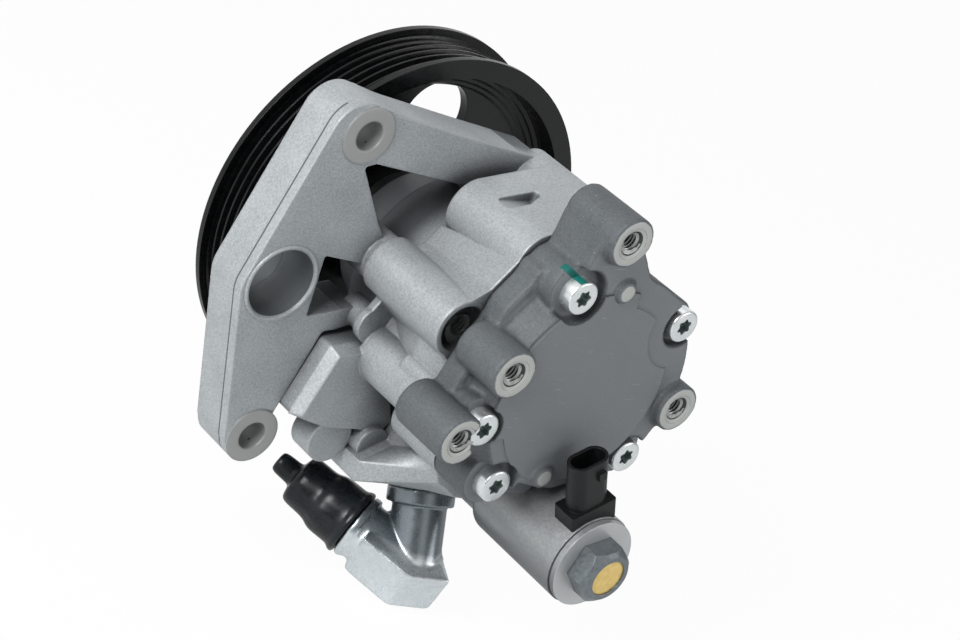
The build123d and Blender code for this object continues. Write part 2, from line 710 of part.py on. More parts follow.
# Front housing
# The nose and barrel are turned about the shaft, then the columns, bracket, chamber and bosses
# are added, and the bores are cut last.
stem_level = math.cos(math.radians(stem_lean))
down = Vector(
    math.sin(math.radians(stem_lean)),
    -stem_level * math.sin(math.radians(stem_tilt)),
    -stem_level * math.cos(math.radians(stem_tilt)),
)
stem_foot = Vector(stem_x, -stem_station, stem_z)
stem_plane = Plane(origin=stem_foot, x_dir=down.cross(Vector(1, 0, 0)), z_dir=down)
bracket_depth = bracket_rear_station - bracket_front_station
pocket_depth = bracket_depth - web_thickness_bracket
with BuildPart() as front_housing:
    with BuildSketch(Plane.XY):
        with BuildLine():
            Polyline(
                (0, -nose_station),
                (nose_radius, -nose_station),
                (nose_radius, -nose_foot_station),
                (shoulder_radius, -shoulder_station),
                (shoulder_radius, -barrel_front_station),
                (barrel_radius, -barrel_full_station),
                (barrel_radius, -joint_station),
                (0, -joint_station),
                close=True,
            )
        make_face()
    revolve(axis=Axis.Y)

    # Columns of the cover bolts, the side column and the top column
    for bolt_point, radius, column_station in zip(bolt_points, bolt_column_radii, bolt_column_stations):
        with BuildSketch(at_station(column_station)):
            with Locations(bolt_point):
                Circle(radius)
        extrude(amount=joint_station - column_station)
    with BuildSketch(at_station(lower_column_station)):
        with Locations(lower_column):
            Circle(lower_column_radius)
        with BuildLine():
            Polyline(*lower_fill, close=True)
        make_face()
    extrude(amount=joint_station - lower_column_station)
    with BuildSketch(at_station(bolt_column_stations[0])):
        with Locations(bolt_points[0]):
            Circle(top_bolt_column_radius)
        with BuildLine():
            Polyline(*top_fill, close=True)
        make_face()
    extrude(amount=joint_station - bolt_column_stations[0])
    with BuildSketch(at_station(joint_station)):
        with BuildLine():
            Polyline(*side_fill, close=True)
        make_face()
    extrude(amount=-side_fill_length, taper=side_fill_taper)
    with BuildSketch(at_station(barrel_front_station)):
        with Locations((side_column_x, side_column_z)):
            Circle(side_column_radius)
    extrude(amount=joint_station - barrel_front_station)
    with BuildSketch(at_station(bracket_front_station)):
        with Locations((side_column_x, side_column_z)):
            Circle(side_column_neck_radius)
    extrude(amount=barrel_front_station - bracket_front_station)
    with BuildSketch(at_station(top_column_station)):
        with Locations((top_column_x, top_column_z)):
            Circle(top_column_radius)
    extrude(amount=joint_station - top_column_station)

    # Bracket plate with its outer wall, knee and lower leg
    with BuildSketch(at_station(bracket_front_station)):
        with BuildLine():
            FilletPolyline(
                [(point[0], point[1]) for point in plate_outline],
                radius=[point[2] for point in plate_outline],
                close=True,
            )
        make_face()
        with Locations((bracket_hole_x, bracket_hole_half_span), (bracket_hole_x, -bracket_hole_half_span)):
            Circle(bracket_boss_radius)
        with Locations((tube_x, tube_z)):
            Circle(tube_bore_radius + tube_wall)
    extrude(amount=bracket_depth)

    # Arm from the upper hole to the top of the body
    with BuildSketch(at_station(bracket_front_station)):
        with BuildLine():
            FilletPolyline(*arm_outline, radius=arm_corner_radius, close=True)
        make_face()
    extrude(amount=bracket_depth)
    with BuildSketch(at_station(bracket_front_station)):
        for pocket in (upper_pocket, lower_pocket, arm_pocket):
            with BuildLine():
                FilletPolyline(*pocket, radius=pocket_corner_radius, close=True)
            make_face()
    extrude(amount=pocket_depth, mode=Mode.SUBTRACT)

    # Machined faces round the two bracket holes, and the small lug beside the barrel
    with BuildSketch(at_station(bracket_rear_station)):
        with Locations((bracket_hole_x, bracket_hole_half_span), (bracket_hole_x, -bracket_hole_half_span)):
            Circle(bracket_boss_radius)
    extrude(amount=bracket_boss_rise)
    with BuildSketch(at_station(lug_front_station)):
        with Locations(lug_centre):
            Circle(lug_radius)
    extrude(amount=lug_station - lug_front_station)
    with BuildSketch(at_station(lug_flange_station)):
        with Locations(lug_centre):
            Circle(lug_flange_radius)
        with BuildLine():
            Polyline(*lug_fin, close=True)
        make_face()
    extrude(amount=lug_station - lug_flange_station)

    # Chamber beside the lower leg and the body's lower block
    with BuildSketch(at_station(chamber_front_station)):
        with BuildLine():
            FilletPolyline(*chamber_outline, radius=chamber_corner_radius, close=True)
        make_face()
    extrude(amount=chamber_bevel_station - chamber_front_station)
    with BuildSketch(at_station(chamber_bevel_station)):
        with BuildLine():
            Polyline(*chamber_outline, close=True)
        make_face()
    extrude(amount=chamber_rear_station - chamber_bevel_station, taper=chamber_bevel)
    for bump_x, bump_z, bump_radius, bump_rear in bumps:
        with BuildSketch(at_station(bump_front_station)):
            with Locations((bump_x, bump_z)):
                Circle(bump_radius)
        extrude(amount=bump_rear - bump_front_station)
    with BuildSketch(at_station(block_front_station)):
        with BuildLine():
            Polyline(*block_front_outline, close=True)
        make_face()
    extrude(amount=block_slope_station - block_front_station)
    with BuildSketch(at_station(block_slope_station)):
        with BuildLine():
            Polyline(*block_front_outline, close=True)
        make_face()
    with BuildSketch(at_station(can_front_station)):
        with BuildLine():
            Polyline(*block_rear_outline, close=True)
        make_face()
    loft(ruled=True)

    # Valve boss and the port boss of the elbow
    with BuildSketch(at_station(valve_boss_front_station)):
        with Locations((valve_x, valve_z)):
            Circle(valve_boss_radius)
    extrude(amount=can_front_station - valve_boss_front_station)
    with BuildSketch(stem_plane.offset(-port_face_rise)):
        Circle(port_boss_radius)
    extrude(amount=-port_boss_length)
    with BuildSketch(stem_plane.offset(-port_face_rise)):
        Circle(collar_radius + moving_gap)
    extrude(amount=collar_height, mode=Mode.SUBTRACT)

    # Bores about the shaft
    with BuildSketch(Plane.XY):
        with BuildLine():
            Polyline(
                (0, -nose_station),
                (bearing_outer_radius, -nose_station),
                (bearing_outer_radius, -circlip_station),
                (circlip_groove_radius, -circlip_station),
                (circlip_groove_radius, -bearing_station),
                (bearing_outer_radius, -bearing_station),
                (bearing_outer_radius, -bearing_rear_station),
                (seal_outer_radius, -bearing_rear_station),
                (seal_outer_radius, -seal_rear_station),
                (shaft_passage_radius, -seal_rear_station),
                (shaft_passage_radius, -cartridge_station),
                (cartridge_radius + seat_gap, -cartridge_station),
                (cartridge_radius + seat_gap, -joint_station),
                (0, -joint_station),
                close=True,
            )
        make_face()
    revolve(axis=Axis.Y, mode=Mode.SUBTRACT)

    # Dowel holes, threaded holes of the cover bolts and the side hole with its pocket
    with BuildSketch(at_station(cartridge_station - dowel_overhang)):
        with PolarLocations(dowel_pitch_radius, 2, start_angle=dowel_angle):
            Circle(dowel_radius + seat_gap)
    extrude(amount=dowel_overhang, mode=Mode.SUBTRACT)
    with BuildSketch(at_station(joint_station)):
        with Locations(*bolt_points):
            Circle(bolt_radius + seat_gap)
    extrude(amount=-bolt_bite - bolt_hole_spare, mode=Mode.SUBTRACT)
    with BuildSketch(at_station(joint_station)):
        with Locations((side_column_x, side_column_z)):
            Circle(side_pocket_radius)
    extrude(amount=-side_pocket_depth, mode=Mode.SUBTRACT)
    with BuildSketch(at_station(joint_station - side_pocket_depth)):
        with Locations(boss_b):
            Circle(side_hole_radius)
    extrude(amount=-side_hole_depth, mode=Mode.SUBTRACT)

    # Bracket holes and the tube
    with BuildSketch(at_station(bracket_front_station)):
        with Locations((bracket_hole_x, bracket_hole_half_span), (bracket_hole_x, -bracket_hole_half_span)):
            Circle(bracket_hole_radius)
        with Locations((tube_x, tube_z)):
            Circle(tube_bore_radius)
    extrude(amount=bracket_depth + bracket_boss_rise, mode=Mode.SUBTRACT)

    # Room for the solenoid can, the valve bore and the elbow's port
    with BuildSketch(at_station(can_front_station)):
        with Locations((valve_x, valve_z)):
            Circle(can_radius + can_room)
    extrude(amount=joint_station - can_front_station, mode=Mode.SUBTRACT)
    with BuildSketch(at_station(valve_bore_bottom_station)):
        with Locations((valve_x, valve_z)):
            Circle(valve_bore_radius)
    extrude(amount=can_front_station - valve_bore_bottom_station, mode=Mode.SUBTRACT)
    with BuildSketch(stem_plane.offset(-port_face_rise)):
        Circle(stem_radius + seat_gap)
    extrude(amount=-stem_insert, mode=Mode.SUBTRACT)

    # Cast pocket beside the topmost bolt column
    with BuildSketch(Plane.XY.offset(cast_pocket_floor)):
        with BuildLine():
            FilletPolyline(*[(x, -station) for x, station in cast_pocket], radius=cast_pocket_corner, close=True)
        make_face()
    extrude(amount=cast_pocket_height, mode=Mode.SUBTRACT)
front_housing.part.label = "front_housing"
export_step(front_housing.part, "parts/front_housing.step")

# Rear cover
# Flange and drum with bolt lobes, four threaded bosses, a rib and a raised smooth plate.
with BuildPart() as rear_cover:
    with BuildSketch(at_station(joint_station)):
        Circle(barrel_radius)
        for bolt_point, radius in zip(bolt_points, cover_lobe_radii):
            with Locations(bolt_point):
                Circle(radius)
        with Locations(boss_a, boss_c, boss_d):
            Circle(boss_radius)
    extrude(amount=cover_flange_thickness)
    with BuildSketch(Plane.XY):
        with BuildLine():
            Polyline(
                (0, -joint_station),
                (barrel_radius, -joint_station),
                (barrel_radius, -cover_slope_station),
                (cover_top_radius, -cover_rim_station),
                (0, -cover_rim_station),
                close=True,
            )
        make_face()
    revolve(axis=Axis.Y)
    with BuildSketch(at_station(joint_station)):
        Circle(barrel_radius)
        with Locations((cover_straight_x, 0)):
            Rectangle(2 * barrel_radius, 4 * barrel_radius, rotation=cover_straight_turn,
                      mode=Mode.INTERSECT)
    extrude(amount=cover_rim_station - joint_station)

    # Lobes under the bolt heads
    with BuildSketch(at_station(joint_station)):
        for bolt_point, radius in zip(bolt_points, cover_lobe_radii):
            with Locations(bolt_point):
                Circle(radius)
    extrude(amount=head_seat_station - joint_station)

    # Bosses with their neck, rib and the raised plate
    with BuildSketch(at_station(joint_station + cover_flange_thickness)):
        with Locations(boss_a, boss_c, boss_d):
            Circle(boss_radius)
    extrude(amount=boss_station - joint_station - cover_flange_thickness)
    with BuildSketch(at_station(boss_b_front_station)):
        with Locations(boss_b):
            Circle(boss_radius)
    extrude(amount=boss_station - boss_b_front_station)
    with BuildSketch(at_station(joint_station)):
        with BuildLine():
            Polyline(*boss_a_neck, close=True)
        make_face()
    extrude(amount=cover_rim_station - joint_station)
    with BuildSketch(at_station(joint_station)):
        with BuildLine():
            Polyline(*cover_side, close=True)
        make_face()
    extrude(amount=cover_side_height)
    with BuildSketch(at_station(joint_station)):
        with BuildLine():
            Polyline(*cover_rib, close=True)
        make_face()
    extrude(amount=cover_rib_height)
    with BuildSketch(at_station(cover_chord_station)):
        with BuildLine():
            Polyline(*cover_chord, close=True)
        make_face()
    extrude(amount=cover_rim_station - cover_chord_station, mode=Mode.SUBTRACT)
    with BuildSketch(at_station(cover_rim_station)):
        Circle(smooth_plate_radius)
        with Locations(bolt_points[1]):
            Circle(smooth_plate_notch_radius, mode=Mode.SUBTRACT)
    extrude(amount=cover_plate_station - cover_rim_station)
    with BuildSketch(at_station(cover_rim_station)):
        with Locations(stud_a, stud_b):
            Circle(stud_radius)
    extrude(amount=stud_station - cover_rim_station)

    # Spigot
    with BuildSketch(at_station(spigot_station)):
        Circle(cartridge_radius)
    extrude(amount=spigot_length)
    with BuildSketch(Plane.XY):
        with Locations((cartridge_radius, -o_ring_station)):
            Rectangle(2 * o_ring_groove_depth, o_ring_groove_width)
    revolve(axis=Axis.Y, mode=Mode.SUBTRACT)

    # Reliefs round the bolt heads, room for the can and for the side hole
    for bolt_point, relief_radius in zip(bolt_points, relief_radii):
        with BuildSketch(at_station(head_seat_station)):
            with Locations(bolt_point):
                Circle(relief_radius)
        extrude(amount=boss_station - head_seat_station, mode=Mode.SUBTRACT)
    with BuildSketch(at_station(joint_station)):
        with Locations((valve_x, valve_z)):
            Circle(can_radius + can_room)
    extrude(amount=boss_station - joint_station, mode=Mode.SUBTRACT)

    # Bolt holes, bush and shaft bore, dowel holes and the bosses' threaded holes
    with BuildSketch(at_station(joint_station)):
        with Locations(*bolt_points):
            Circle(bolt_radius + seat_gap)
    extrude(amount=head_seat_station - joint_station, mode=Mode.SUBTRACT)
    with BuildSketch(at_station(spigot_station)):
        Circle(shaft_rear_radius + running_gap + bush_wall + seat_gap)
    extrude(amount=bush_length + bush_bottom_room, mode=Mode.SUBTRACT)
    with BuildSketch(at_station(spigot_station)):
        with PolarLocations(dowel_pitch_radius, 2, start_angle=dowel_angle):
            Circle(dowel_radius + seat_gap)
    extrude(amount=dowel_overhang, mode=Mode.SUBTRACT)
    for boss, hole_depth in zip((boss_a, boss_c, boss_d), boss_hole_depths):
        with BuildSketch(at_station(boss_station)):
            with Locations(boss):
                Circle(boss_hole_radius)
        extrude(amount=-hole_depth, mode=Mode.SUBTRACT)
    with BuildSketch(at_station(joint_station)):
        with Locations(boss_b):
            Circle(boss_hole_radius)
    extrude(amount=boss_station - joint_station, mode=Mode.SUBTRACT)
    for boss in (boss_a, boss_b, boss_c, boss_d):
        with Locations(at_station(boss_station) * Pos(*boss)):
            Cone(boss_hole_radius, boss_hole_radius + 2 * boss_hole_chamfer, 2 * boss_hole_chamfer,
                 mode=Mode.SUBTRACT)
rear_cover.part.label = "rear_cover"
export_step(rear_cover.part, "parts/rear_cover.step")

# Cover bolts
with BuildPart() as cover_bolts:
    with BuildSketch(at_station(head_seat_station)):
        with Locations(*bolt_points):
            Circle(bolt_head_radius)
    extrude(amount=bolt_head_height)
    chamfer(cover_bolts.faces().group_by(Axis.Y)[0].edges(), bolt_head_chamfer)
    with BuildSketch(at_station(joint_station - bolt_bite)):
        with Locations(*bolt_points):
            Circle(bolt_radius)
    extrude(amount=head_seat_station - joint_station + bolt_bite)
cover_bolts.part.label = "cover_bolts"
export_step(cover_bolts.part, "parts/cover_bolts.step")

# Flow control spool and its spring
spring_front = valve_bore_bottom_station + seat_gap
spring_rear = spool_station - seat_gap
with BuildPart() as flow_spool:
    with BuildSketch(at_station(spool_station)):
        with Locations((valve_x, valve_z)):
            Circle(spool_waist_radius)
    extrude(amount=spool_length)
    for land_station in (spool_station, spool_station + spool_length - spool_land):
        with BuildSketch(at_station(land_station)):
            with Locations((valve_x, valve_z)):
                Circle(valve_bore_radius - slide_gap)
        extrude(amount=spool_land)
flow_spool.part.label = "flow_spool"
export_step(flow_spool.part, "parts/flow_spool.step")

spring_length = spring_rear - spring_front - 2 * spring_wire
with BuildPart() as spool_spring:
    with BuildLine():
        coil_path = Helix(
            pitch=spring_length / spring_turns,
            height=spring_length,
            radius=spring_radius,
            center=(valve_x, -spring_front - spring_wire, valve_z),
            direction=(0, -1, 0),
        )
    with BuildSketch(Plane(origin=coil_path @ 0, z_dir=coil_path % 0)):
        Circle(spring_wire)
    sweep(path=coil_path)
spool_spring.part.label = "spool_spring"
export_step(spool_spring.part, "parts/spool_spring.step")

# Solenoid can
core_flange_station = can_front_station + can_front_wall
with BuildPart() as solenoid_can:
    with BuildSketch(at_station(can_front_station)):
        with Locations((valve_x, valve_z)):
            Circle(can_radius)
    extrude(amount=can_rear_station - can_front_station)
    fillet(solenoid_can.edges().filter_by(GeomType.CIRCLE).group_by(Axis.Y)[-1], can_edge)
    with BuildSketch(at_station(core_flange_station)):
        with Locations((valve_x, valve_z)):
            Circle(can_radius - can_wall)
    extrude(amount=can_rear_station - core_flange_station, mode=Mode.SUBTRACT)
    with BuildSketch(at_station(can_front_station)):
        with Locations((valve_x, valve_z)):
            Circle(valve_bore_radius)
    extrude(amount=can_front_wall, mode=Mode.SUBTRACT)
solenoid_can.part.label = "solenoid_can"
export_step(solenoid_can.part, "parts/solenoid_can.step")

# Solenoid core
# Snout in the valve bore, then a closed tube that guides the armature.
with BuildPart() as solenoid_core:
    with BuildSketch(at_station(core_snout_station)):
        with Locations((valve_x, valve_z)):
            Circle(valve_bore_radius - seat_gap)
    extrude(amount=core_flange_station - core_snout_station)
    with BuildSketch(at_station(core_flange_station)):
        with Locations((valve_x, valve_z)):
            Circle(core_radius)
    extrude(amount=core_rear_station - core_flange_station)
    with BuildSketch(at_station(core_snout_station)):
        with Locations((valve_x, valve_z)):
            Circle(rod_radius + moving_gap)
    extrude(amount=armature_station - armature_travel - moving_gap - core_snout_station, mode=Mode.SUBTRACT)
    with BuildSketch(at_station(armature_station - armature_travel - moving_gap)):
        with Locations((valve_x, valve_z)):
            Circle(armature_radius + slide_gap)
    extrude(amount=armature_length + armature_travel + 2 * moving_gap, mode=Mode.SUBTRACT)
solenoid_core.part.label = "solenoid_core"
export_step(solenoid_core.part, "parts/solenoid_core.step")

# Armature and its push rod
rod_front_station = spool_station + spool_length + armature_travel + moving_gap
with BuildPart() as armature:
    with BuildSketch(at_station(armature_station)):
        with Locations((valve_x, valve_z)):
            Circle(armature_radius)
    extrude(amount=armature_length)
    with BuildSketch(at_station(rod_front_station)):
        with Locations((valve_x, valve_z)):
            Circle(rod_radius)
    extrude(amount=armature_station - rod_front_station)
armature.part.label = "armature"
export_step(armature.part, "parts/armature.step")

# Solenoid coil
with BuildPart() as solenoid_coil:
    with BuildSketch(at_station(core_flange_station + seat_gap)):
        with Locations((valve_x, valve_z)):
            Circle(coil_radius)
            Circle(core_radius + seat_gap, mode=Mode.SUBTRACT)
    extrude(amount=coil_length)
solenoid_coil.part.label = "solenoid_coil"
export_step(solenoid_coil.part, "parts/solenoid_coil.step")

# End disc, nut and tuning plug
disc_station = can_rear_station + end_disc_gap
nut_station = disc_station + end_disc_thickness
nut_rear_station = nut_station + nut_height
with BuildPart() as end_disc:
    with BuildSketch(at_station(disc_station)):
        with Locations((valve_x, valve_z)):
            Circle(end_disc_radius)
    extrude(amount=end_disc_thickness)
    with BuildSketch(at_station(disc_station)):
        with Locations((valve_x, valve_z)):
            Circle(can_radius - can_wall - seat_gap)
    extrude(amount=-end_disc_insert)
    with BuildSketch(at_station(nut_station)):
        with Locations((valve_x, valve_z)):
            Circle(plug_radius + seat_gap)
    extrude(amount=-end_disc_thickness - end_disc_insert, mode=Mode.SUBTRACT)
end_disc.part.label = "end_disc"
export_step(end_disc.part, "parts/end_disc.step")

with BuildPart() as solenoid_nut:
    with BuildSketch(at_station(nut_station)):
        with Locations((valve_x, valve_z)):
            RegularPolygon(nut_flats / 2, 6, major_radius=False, rotation=nut_turn)
    extrude(amount=nut_height)
    with BuildSketch(at_station(nut_rear_station)):
        with Locations((valve_x, valve_z)):
            Circle(nut_face_radius)
    extrude(amount=-nut_height, taper=-nut_chamfer_angle, mode=Mode.INTERSECT)
    with BuildSketch(at_station(nut_station)):
        with Locations((valve_x, valve_z)):
            Circle(plug_radius + seat_gap)
    extrude(amount=nut_height, mode=Mode.SUBTRACT)
solenoid_nut.part.label = "solenoid_nut"
export_step(solenoid_nut.part, "parts/solenoid_nut.step")

with BuildPart() as tuning_plug:
    with BuildSketch(at_station(core_rear_station + seat_gap)):
        with Locations((valve_x, valve_z)):
            Circle(plug_radius)
    extrude(amount=nut_rear_station - plug_inset - core_rear_station - seat_gap)
tuning_plug.part.label = "tuning_plug"
export_step(tuning_plug.part, "parts/tuning_plug.step")

# Connector
# A block saddled on the can and an oval socket standing on it.
connector_up = (math.sin(math.radians(connector_lean)), math.cos(math.radians(connector_lean)))
connector_foot_x = valve_x + connector_offset * connector_up[1]
connector_foot_z = valve_z - connector_offset * connector_up[0]
connector_plane = Plane(origin=(connector_foot_x, -connector_station, connector_foot_z),
                        x_dir=(connector_up[1], 0, -connector_up[0]),
                        z_dir=(connector_up[0], 0, connector_up[1]))
connector_top = connector_block_top + connector_height
socket_floor = connector_top - connector_socket_depth
with BuildPart() as connector:
    with BuildSketch(connector_plane.offset(connector_block_bottom)):
        RectangleRounded(connector_block_width, connector_block_depth, connector_edge)
    extrude(amount=connector_block_top - connector_block_bottom)
    with BuildSketch(connector_plane.offset(connector_block_top)):
        SlotOverall(2 * connector_half_length, 2 * connector_half_width)
    extrude(amount=connector_height)
    with BuildSketch(connector_plane.offset(socket_floor)):
        SlotOverall(2 * (connector_half_length - connector_wall), 2 * (connector_half_width - connector_wall))
    extrude(amount=connector_socket_depth, mode=Mode.SUBTRACT)
    with BuildSketch(connector_plane.offset(connector_top - latch_drop)):
        with Locations((latch_offset, -connector_half_width)):
            Rectangle(latch_width, 2 * latch_rise)
    extrude(amount=-latch_height)
    with BuildSketch(at_station(can_rear_station - can_wall - connector_block_depth)):
        with Locations((valve_x, valve_z)):
            Circle(can_radius + seat_gap)
    extrude(amount=2 * connector_block_depth, mode=Mode.SUBTRACT)
    with BuildSketch(connector_plane.offset(socket_floor - pin_root)):
        with GridLocations(pin_spacing, 1, 2, 1):
            Rectangle(pin_width + 2 * seat_gap, pin_thickness + 2 * seat_gap)
    extrude(amount=pin_root, mode=Mode.SUBTRACT)
connector.part.label = "connector"
export_step(connector.part, "parts/connector.step")

with BuildPart() as connector_pins:
    with BuildSketch(connector_plane.offset(socket_floor - pin_root)):
        with GridLocations(pin_spacing, 1, 2, 1):
            Rectangle(pin_width, pin_thickness)
    extrude(amount=pin_root + pin_height)
connector_pins.part.label = "connector_pins"
export_step(connector_pins.part, "parts/connector_pins.step")

# Elbow fitting
# Stem and collar under the port boss, a mitred block and the outlet neck.
turn = math.radians(outlet_turn)
rise = math.radians(outlet_rise)
roll = math.radians(block_roll)
outlet = Vector(-math.sin(turn) * math.cos(rise), math.cos(turn) * math.cos(rise), math.sin(rise))
level_side = Vector(math.cos(turn), math.sin(turn), 0)
level_down = outlet.cross(level_side)
side = level_side * math.cos(roll) - level_down * math.sin(roll)
block_down = level_down * math.cos(roll) + level_side * math.sin(roll)
elbow_centre = stem_foot + down * stem_drop
block_plane = Plane(origin=elbow_centre, x_dir=side, z_dir=outlet)
outlet_axis = Axis(elbow_centre, outlet)
outlet_profile = Plane(origin=elbow_centre, x_dir=side, z_dir=side.cross(outlet))
elbow_ring_plane = stem_plane.offset(-port_face_rise + seat_gap - stem_insert / 2)
with BuildPart() as elbow_fitting:
    with BuildSketch(stem_plane.offset(-port_face_rise + seat_gap - stem_insert)):
        Circle(stem_radius)
    extrude(amount=stem_insert + port_face_rise + stem_drop)
    with BuildSketch(stem_plane.offset(-port_face_rise + seat_gap)):
        Circle(collar_radius)
    extrude(amount=collar_height)
    with BuildSketch(Plane(origin=elbow_centre, x_dir=outlet, z_dir=block_down).offset(-block_top)):
        with BuildLine():
            Polyline(
                (block_front, -block_width / 2),
                (block_mitre, -block_width / 2),
                (block_tail, 0),
                (block_mitre, block_width / 2),
                (block_front, block_width / 2),
                close=True,
            )
        make_face()
    extrude(amount=block_height)
    for recess_side in (-1, 1):
        with BuildSketch(Plane(
            origin=elbow_centre + outlet * (block_mitre + block_tail) / 2 + side * recess_side * block_width / 4,
            x_dir=block_down,
            z_dir=side * recess_side * (block_mitre - block_tail) - outlet * block_width / 2,
        )):
            with Locations((-recess_rise, 0)):
                RectangleRounded(recess_height, recess_width, recess_corner)
        extrude(amount=-recess_depth, mode=Mode.SUBTRACT)
    block_bottom = elbow_fitting.faces().sort_by(Axis(elbow_centre, block_down))[-1]
    chamfer(block_bottom.edges(), block_chamfer)
    with BuildSketch(outlet_profile):
        with BuildLine():
            Polyline(
                (0, 0),
                (neck_root_radius, 0),
                (neck_root_radius, neck_ring_start),
                (neck_ring_radius, neck_ring_start),
                (neck_ring_radius, neck_ring_start + neck_ring_width),
                (neck_radius, neck_ring_start + neck_ring_width),
                (neck_radius, neck_length),
                (0, neck_length),
                close=True,
            )
        make_face()
    revolve(axis=outlet_axis)
    with BuildSketch(block_plane.offset(-bore_overrun)):
        Circle(outlet_bore_radius)
    extrude(amount=bore_overrun + neck_length, mode=Mode.SUBTRACT)
    with BuildSketch(stem_plane.offset(-port_face_rise + seat_gap - stem_insert)):
        Circle(stem_bore_radius)
    extrude(amount=stem_insert + port_face_rise + stem_drop + bore_overrun, mode=Mode.SUBTRACT)
    with BuildSketch(elbow_ring_plane.offset(-o_ring_groove_width / 2)):
        Circle(stem_radius + seat_gap)
        Circle(stem_radius - o_ring_groove_depth, mode=Mode.SUBTRACT)
    extrude(amount=o_ring_groove_width, mode=Mode.SUBTRACT)
elbow_fitting.part.label = "elbow_fitting"
export_step(elbow_fitting.part, "parts/elbow_fitting.step")

# Seal ring of the stem
with BuildPart(elbow_ring_plane) as elbow_o_ring:
    Torus(stem_radius - o_ring_section, o_ring_section)
elbow_o_ring.part.label = "elbow_o_ring"
export_step(elbow_o_ring.part, "parts/elbow_o_ring.step")

# Rubber cap on the outlet
with BuildPart() as port_cap:
    with BuildSketch(outlet_profile):
        with BuildLine():
            Polyline(
                (neck_radius + seat_gap, cap_start),
                (cap_rim_radius, cap_start),
                (cap_rim_radius, cap_start + cap_rim_width),
                (cap_body_radius, cap_start + cap_rim_width),
                (cap_body_radius, cap_body_at),
                (cap_shoulder_radius, cap_body_at + cap_shoulder_bevel),
                (cap_shoulder_radius, cap_shoulder_at - cap_tip_bevel),
                (cap_shoulder_radius - cap_tip_bevel, cap_shoulder_at),
                (cap_tip_radius, cap_shoulder_at),
                (cap_tip_radius, cap_tip_at - cap_tip_bevel),
                (cap_tip_radius - cap_tip_bevel, cap_tip_at),
                (0, cap_tip_at),
                (0, neck_length + seat_gap),
                (neck_radius + seat_gap, neck_length + seat_gap),
                close=True,
            )
        make_face()
    revolve(axis=outlet_axis)
port_cap.part.label = "port_cap"
export_step(port_cap.part, "parts/port_cap.step")
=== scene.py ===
# %% [markdown]
# # Power steering pump
# The shapes of the pump come as a finished CAD model in metres, with Y along the shaft and the
# pulley towards +Y. This lesson gives every surface the look of its real material, and adds what
# is too fine for the solids: screw heads with six-lobed sockets, threads, a dash of paint, the
# round edges of the castings and the dents of the rubber cap.

# %% Load the CAD model
import bpy
import bmesh
import json
import math
from mathutils import Matrix, Vector


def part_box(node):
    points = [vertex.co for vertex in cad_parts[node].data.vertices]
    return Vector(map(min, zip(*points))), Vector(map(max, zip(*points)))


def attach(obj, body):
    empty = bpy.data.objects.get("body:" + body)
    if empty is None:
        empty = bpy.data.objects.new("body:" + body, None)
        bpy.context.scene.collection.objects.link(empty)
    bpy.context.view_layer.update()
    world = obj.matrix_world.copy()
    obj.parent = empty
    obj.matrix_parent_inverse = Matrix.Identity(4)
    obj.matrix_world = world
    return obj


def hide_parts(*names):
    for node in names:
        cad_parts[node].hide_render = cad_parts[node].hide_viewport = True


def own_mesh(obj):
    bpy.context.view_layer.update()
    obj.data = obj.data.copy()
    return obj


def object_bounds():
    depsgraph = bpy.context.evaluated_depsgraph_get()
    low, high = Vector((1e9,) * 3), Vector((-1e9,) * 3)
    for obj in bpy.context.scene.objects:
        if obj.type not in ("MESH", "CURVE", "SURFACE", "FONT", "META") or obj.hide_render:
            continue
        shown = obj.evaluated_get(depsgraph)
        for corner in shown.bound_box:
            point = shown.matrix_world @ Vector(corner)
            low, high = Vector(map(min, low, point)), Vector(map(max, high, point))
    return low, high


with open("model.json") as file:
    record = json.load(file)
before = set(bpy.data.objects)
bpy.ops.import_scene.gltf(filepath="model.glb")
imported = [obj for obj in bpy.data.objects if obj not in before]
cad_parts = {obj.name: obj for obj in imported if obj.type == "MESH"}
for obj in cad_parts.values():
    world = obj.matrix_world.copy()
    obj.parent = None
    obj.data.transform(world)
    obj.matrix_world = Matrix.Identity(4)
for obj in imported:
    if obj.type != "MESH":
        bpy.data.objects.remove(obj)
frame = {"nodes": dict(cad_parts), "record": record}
nodes = frame["nodes"]
cad_box = [list(corner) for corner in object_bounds()]
print("CAD nodes:", len(nodes), "box in metres:", cad_box)

# %% [markdown]
# ## Camera
# A photograph is matched by its lens, place and turn. The place and the three directions below
# were solved from the round edges of the pulley and the bolt circle. They go straight into the
# camera's matrix, which is surer than aiming it by hand.

# %% Camera at the photograph's angle
camera_place = Vector((-0.558921, -0.555011, 0.289285))
picture_right = Vector((0.719373, -0.591078, 0.364868))
picture_down = Vector((0.010201, -0.516228, -0.856391))
view_direction = Vector((0.694549, 0.619787, -0.365331))

camera_data = bpy.data.cameras.new("camera")
camera_data.sensor_width = 36.0
camera_data.lens = 90.61
camera = bpy.data.objects.new("camera", camera_data)
bpy.context.scene.collection.objects.link(camera)
turn = Matrix((picture_right, -picture_down, -view_direction)).transposed().to_4x4()
camera.matrix_world = Matrix.Translation(camera_place) @ turn
bpy.context.scene.camera = camera
bpy.context.scene.view_settings.view_transform = "Standard"
print("camera at", tuple(camera_place), "lens", camera_data.lens, "mm")

# %% [markdown]
# ## Colours and nodes
# Colours are picked as sRGB hex values, but a shader counts in linear light, so one function
# turns them. A second one adds a node with its settings and its inputs. An input may be a number,
# an output of another node, or a node, which then gives its first output. A Mix node has several
# sockets of one name, so they go by number: 0 is the share, 6 and 7 are two colours, and output 2
# is their mix, while 2 and 3 are two numbers, and output 0 is theirs.

# %% Helpers for every material
MM = 0.001


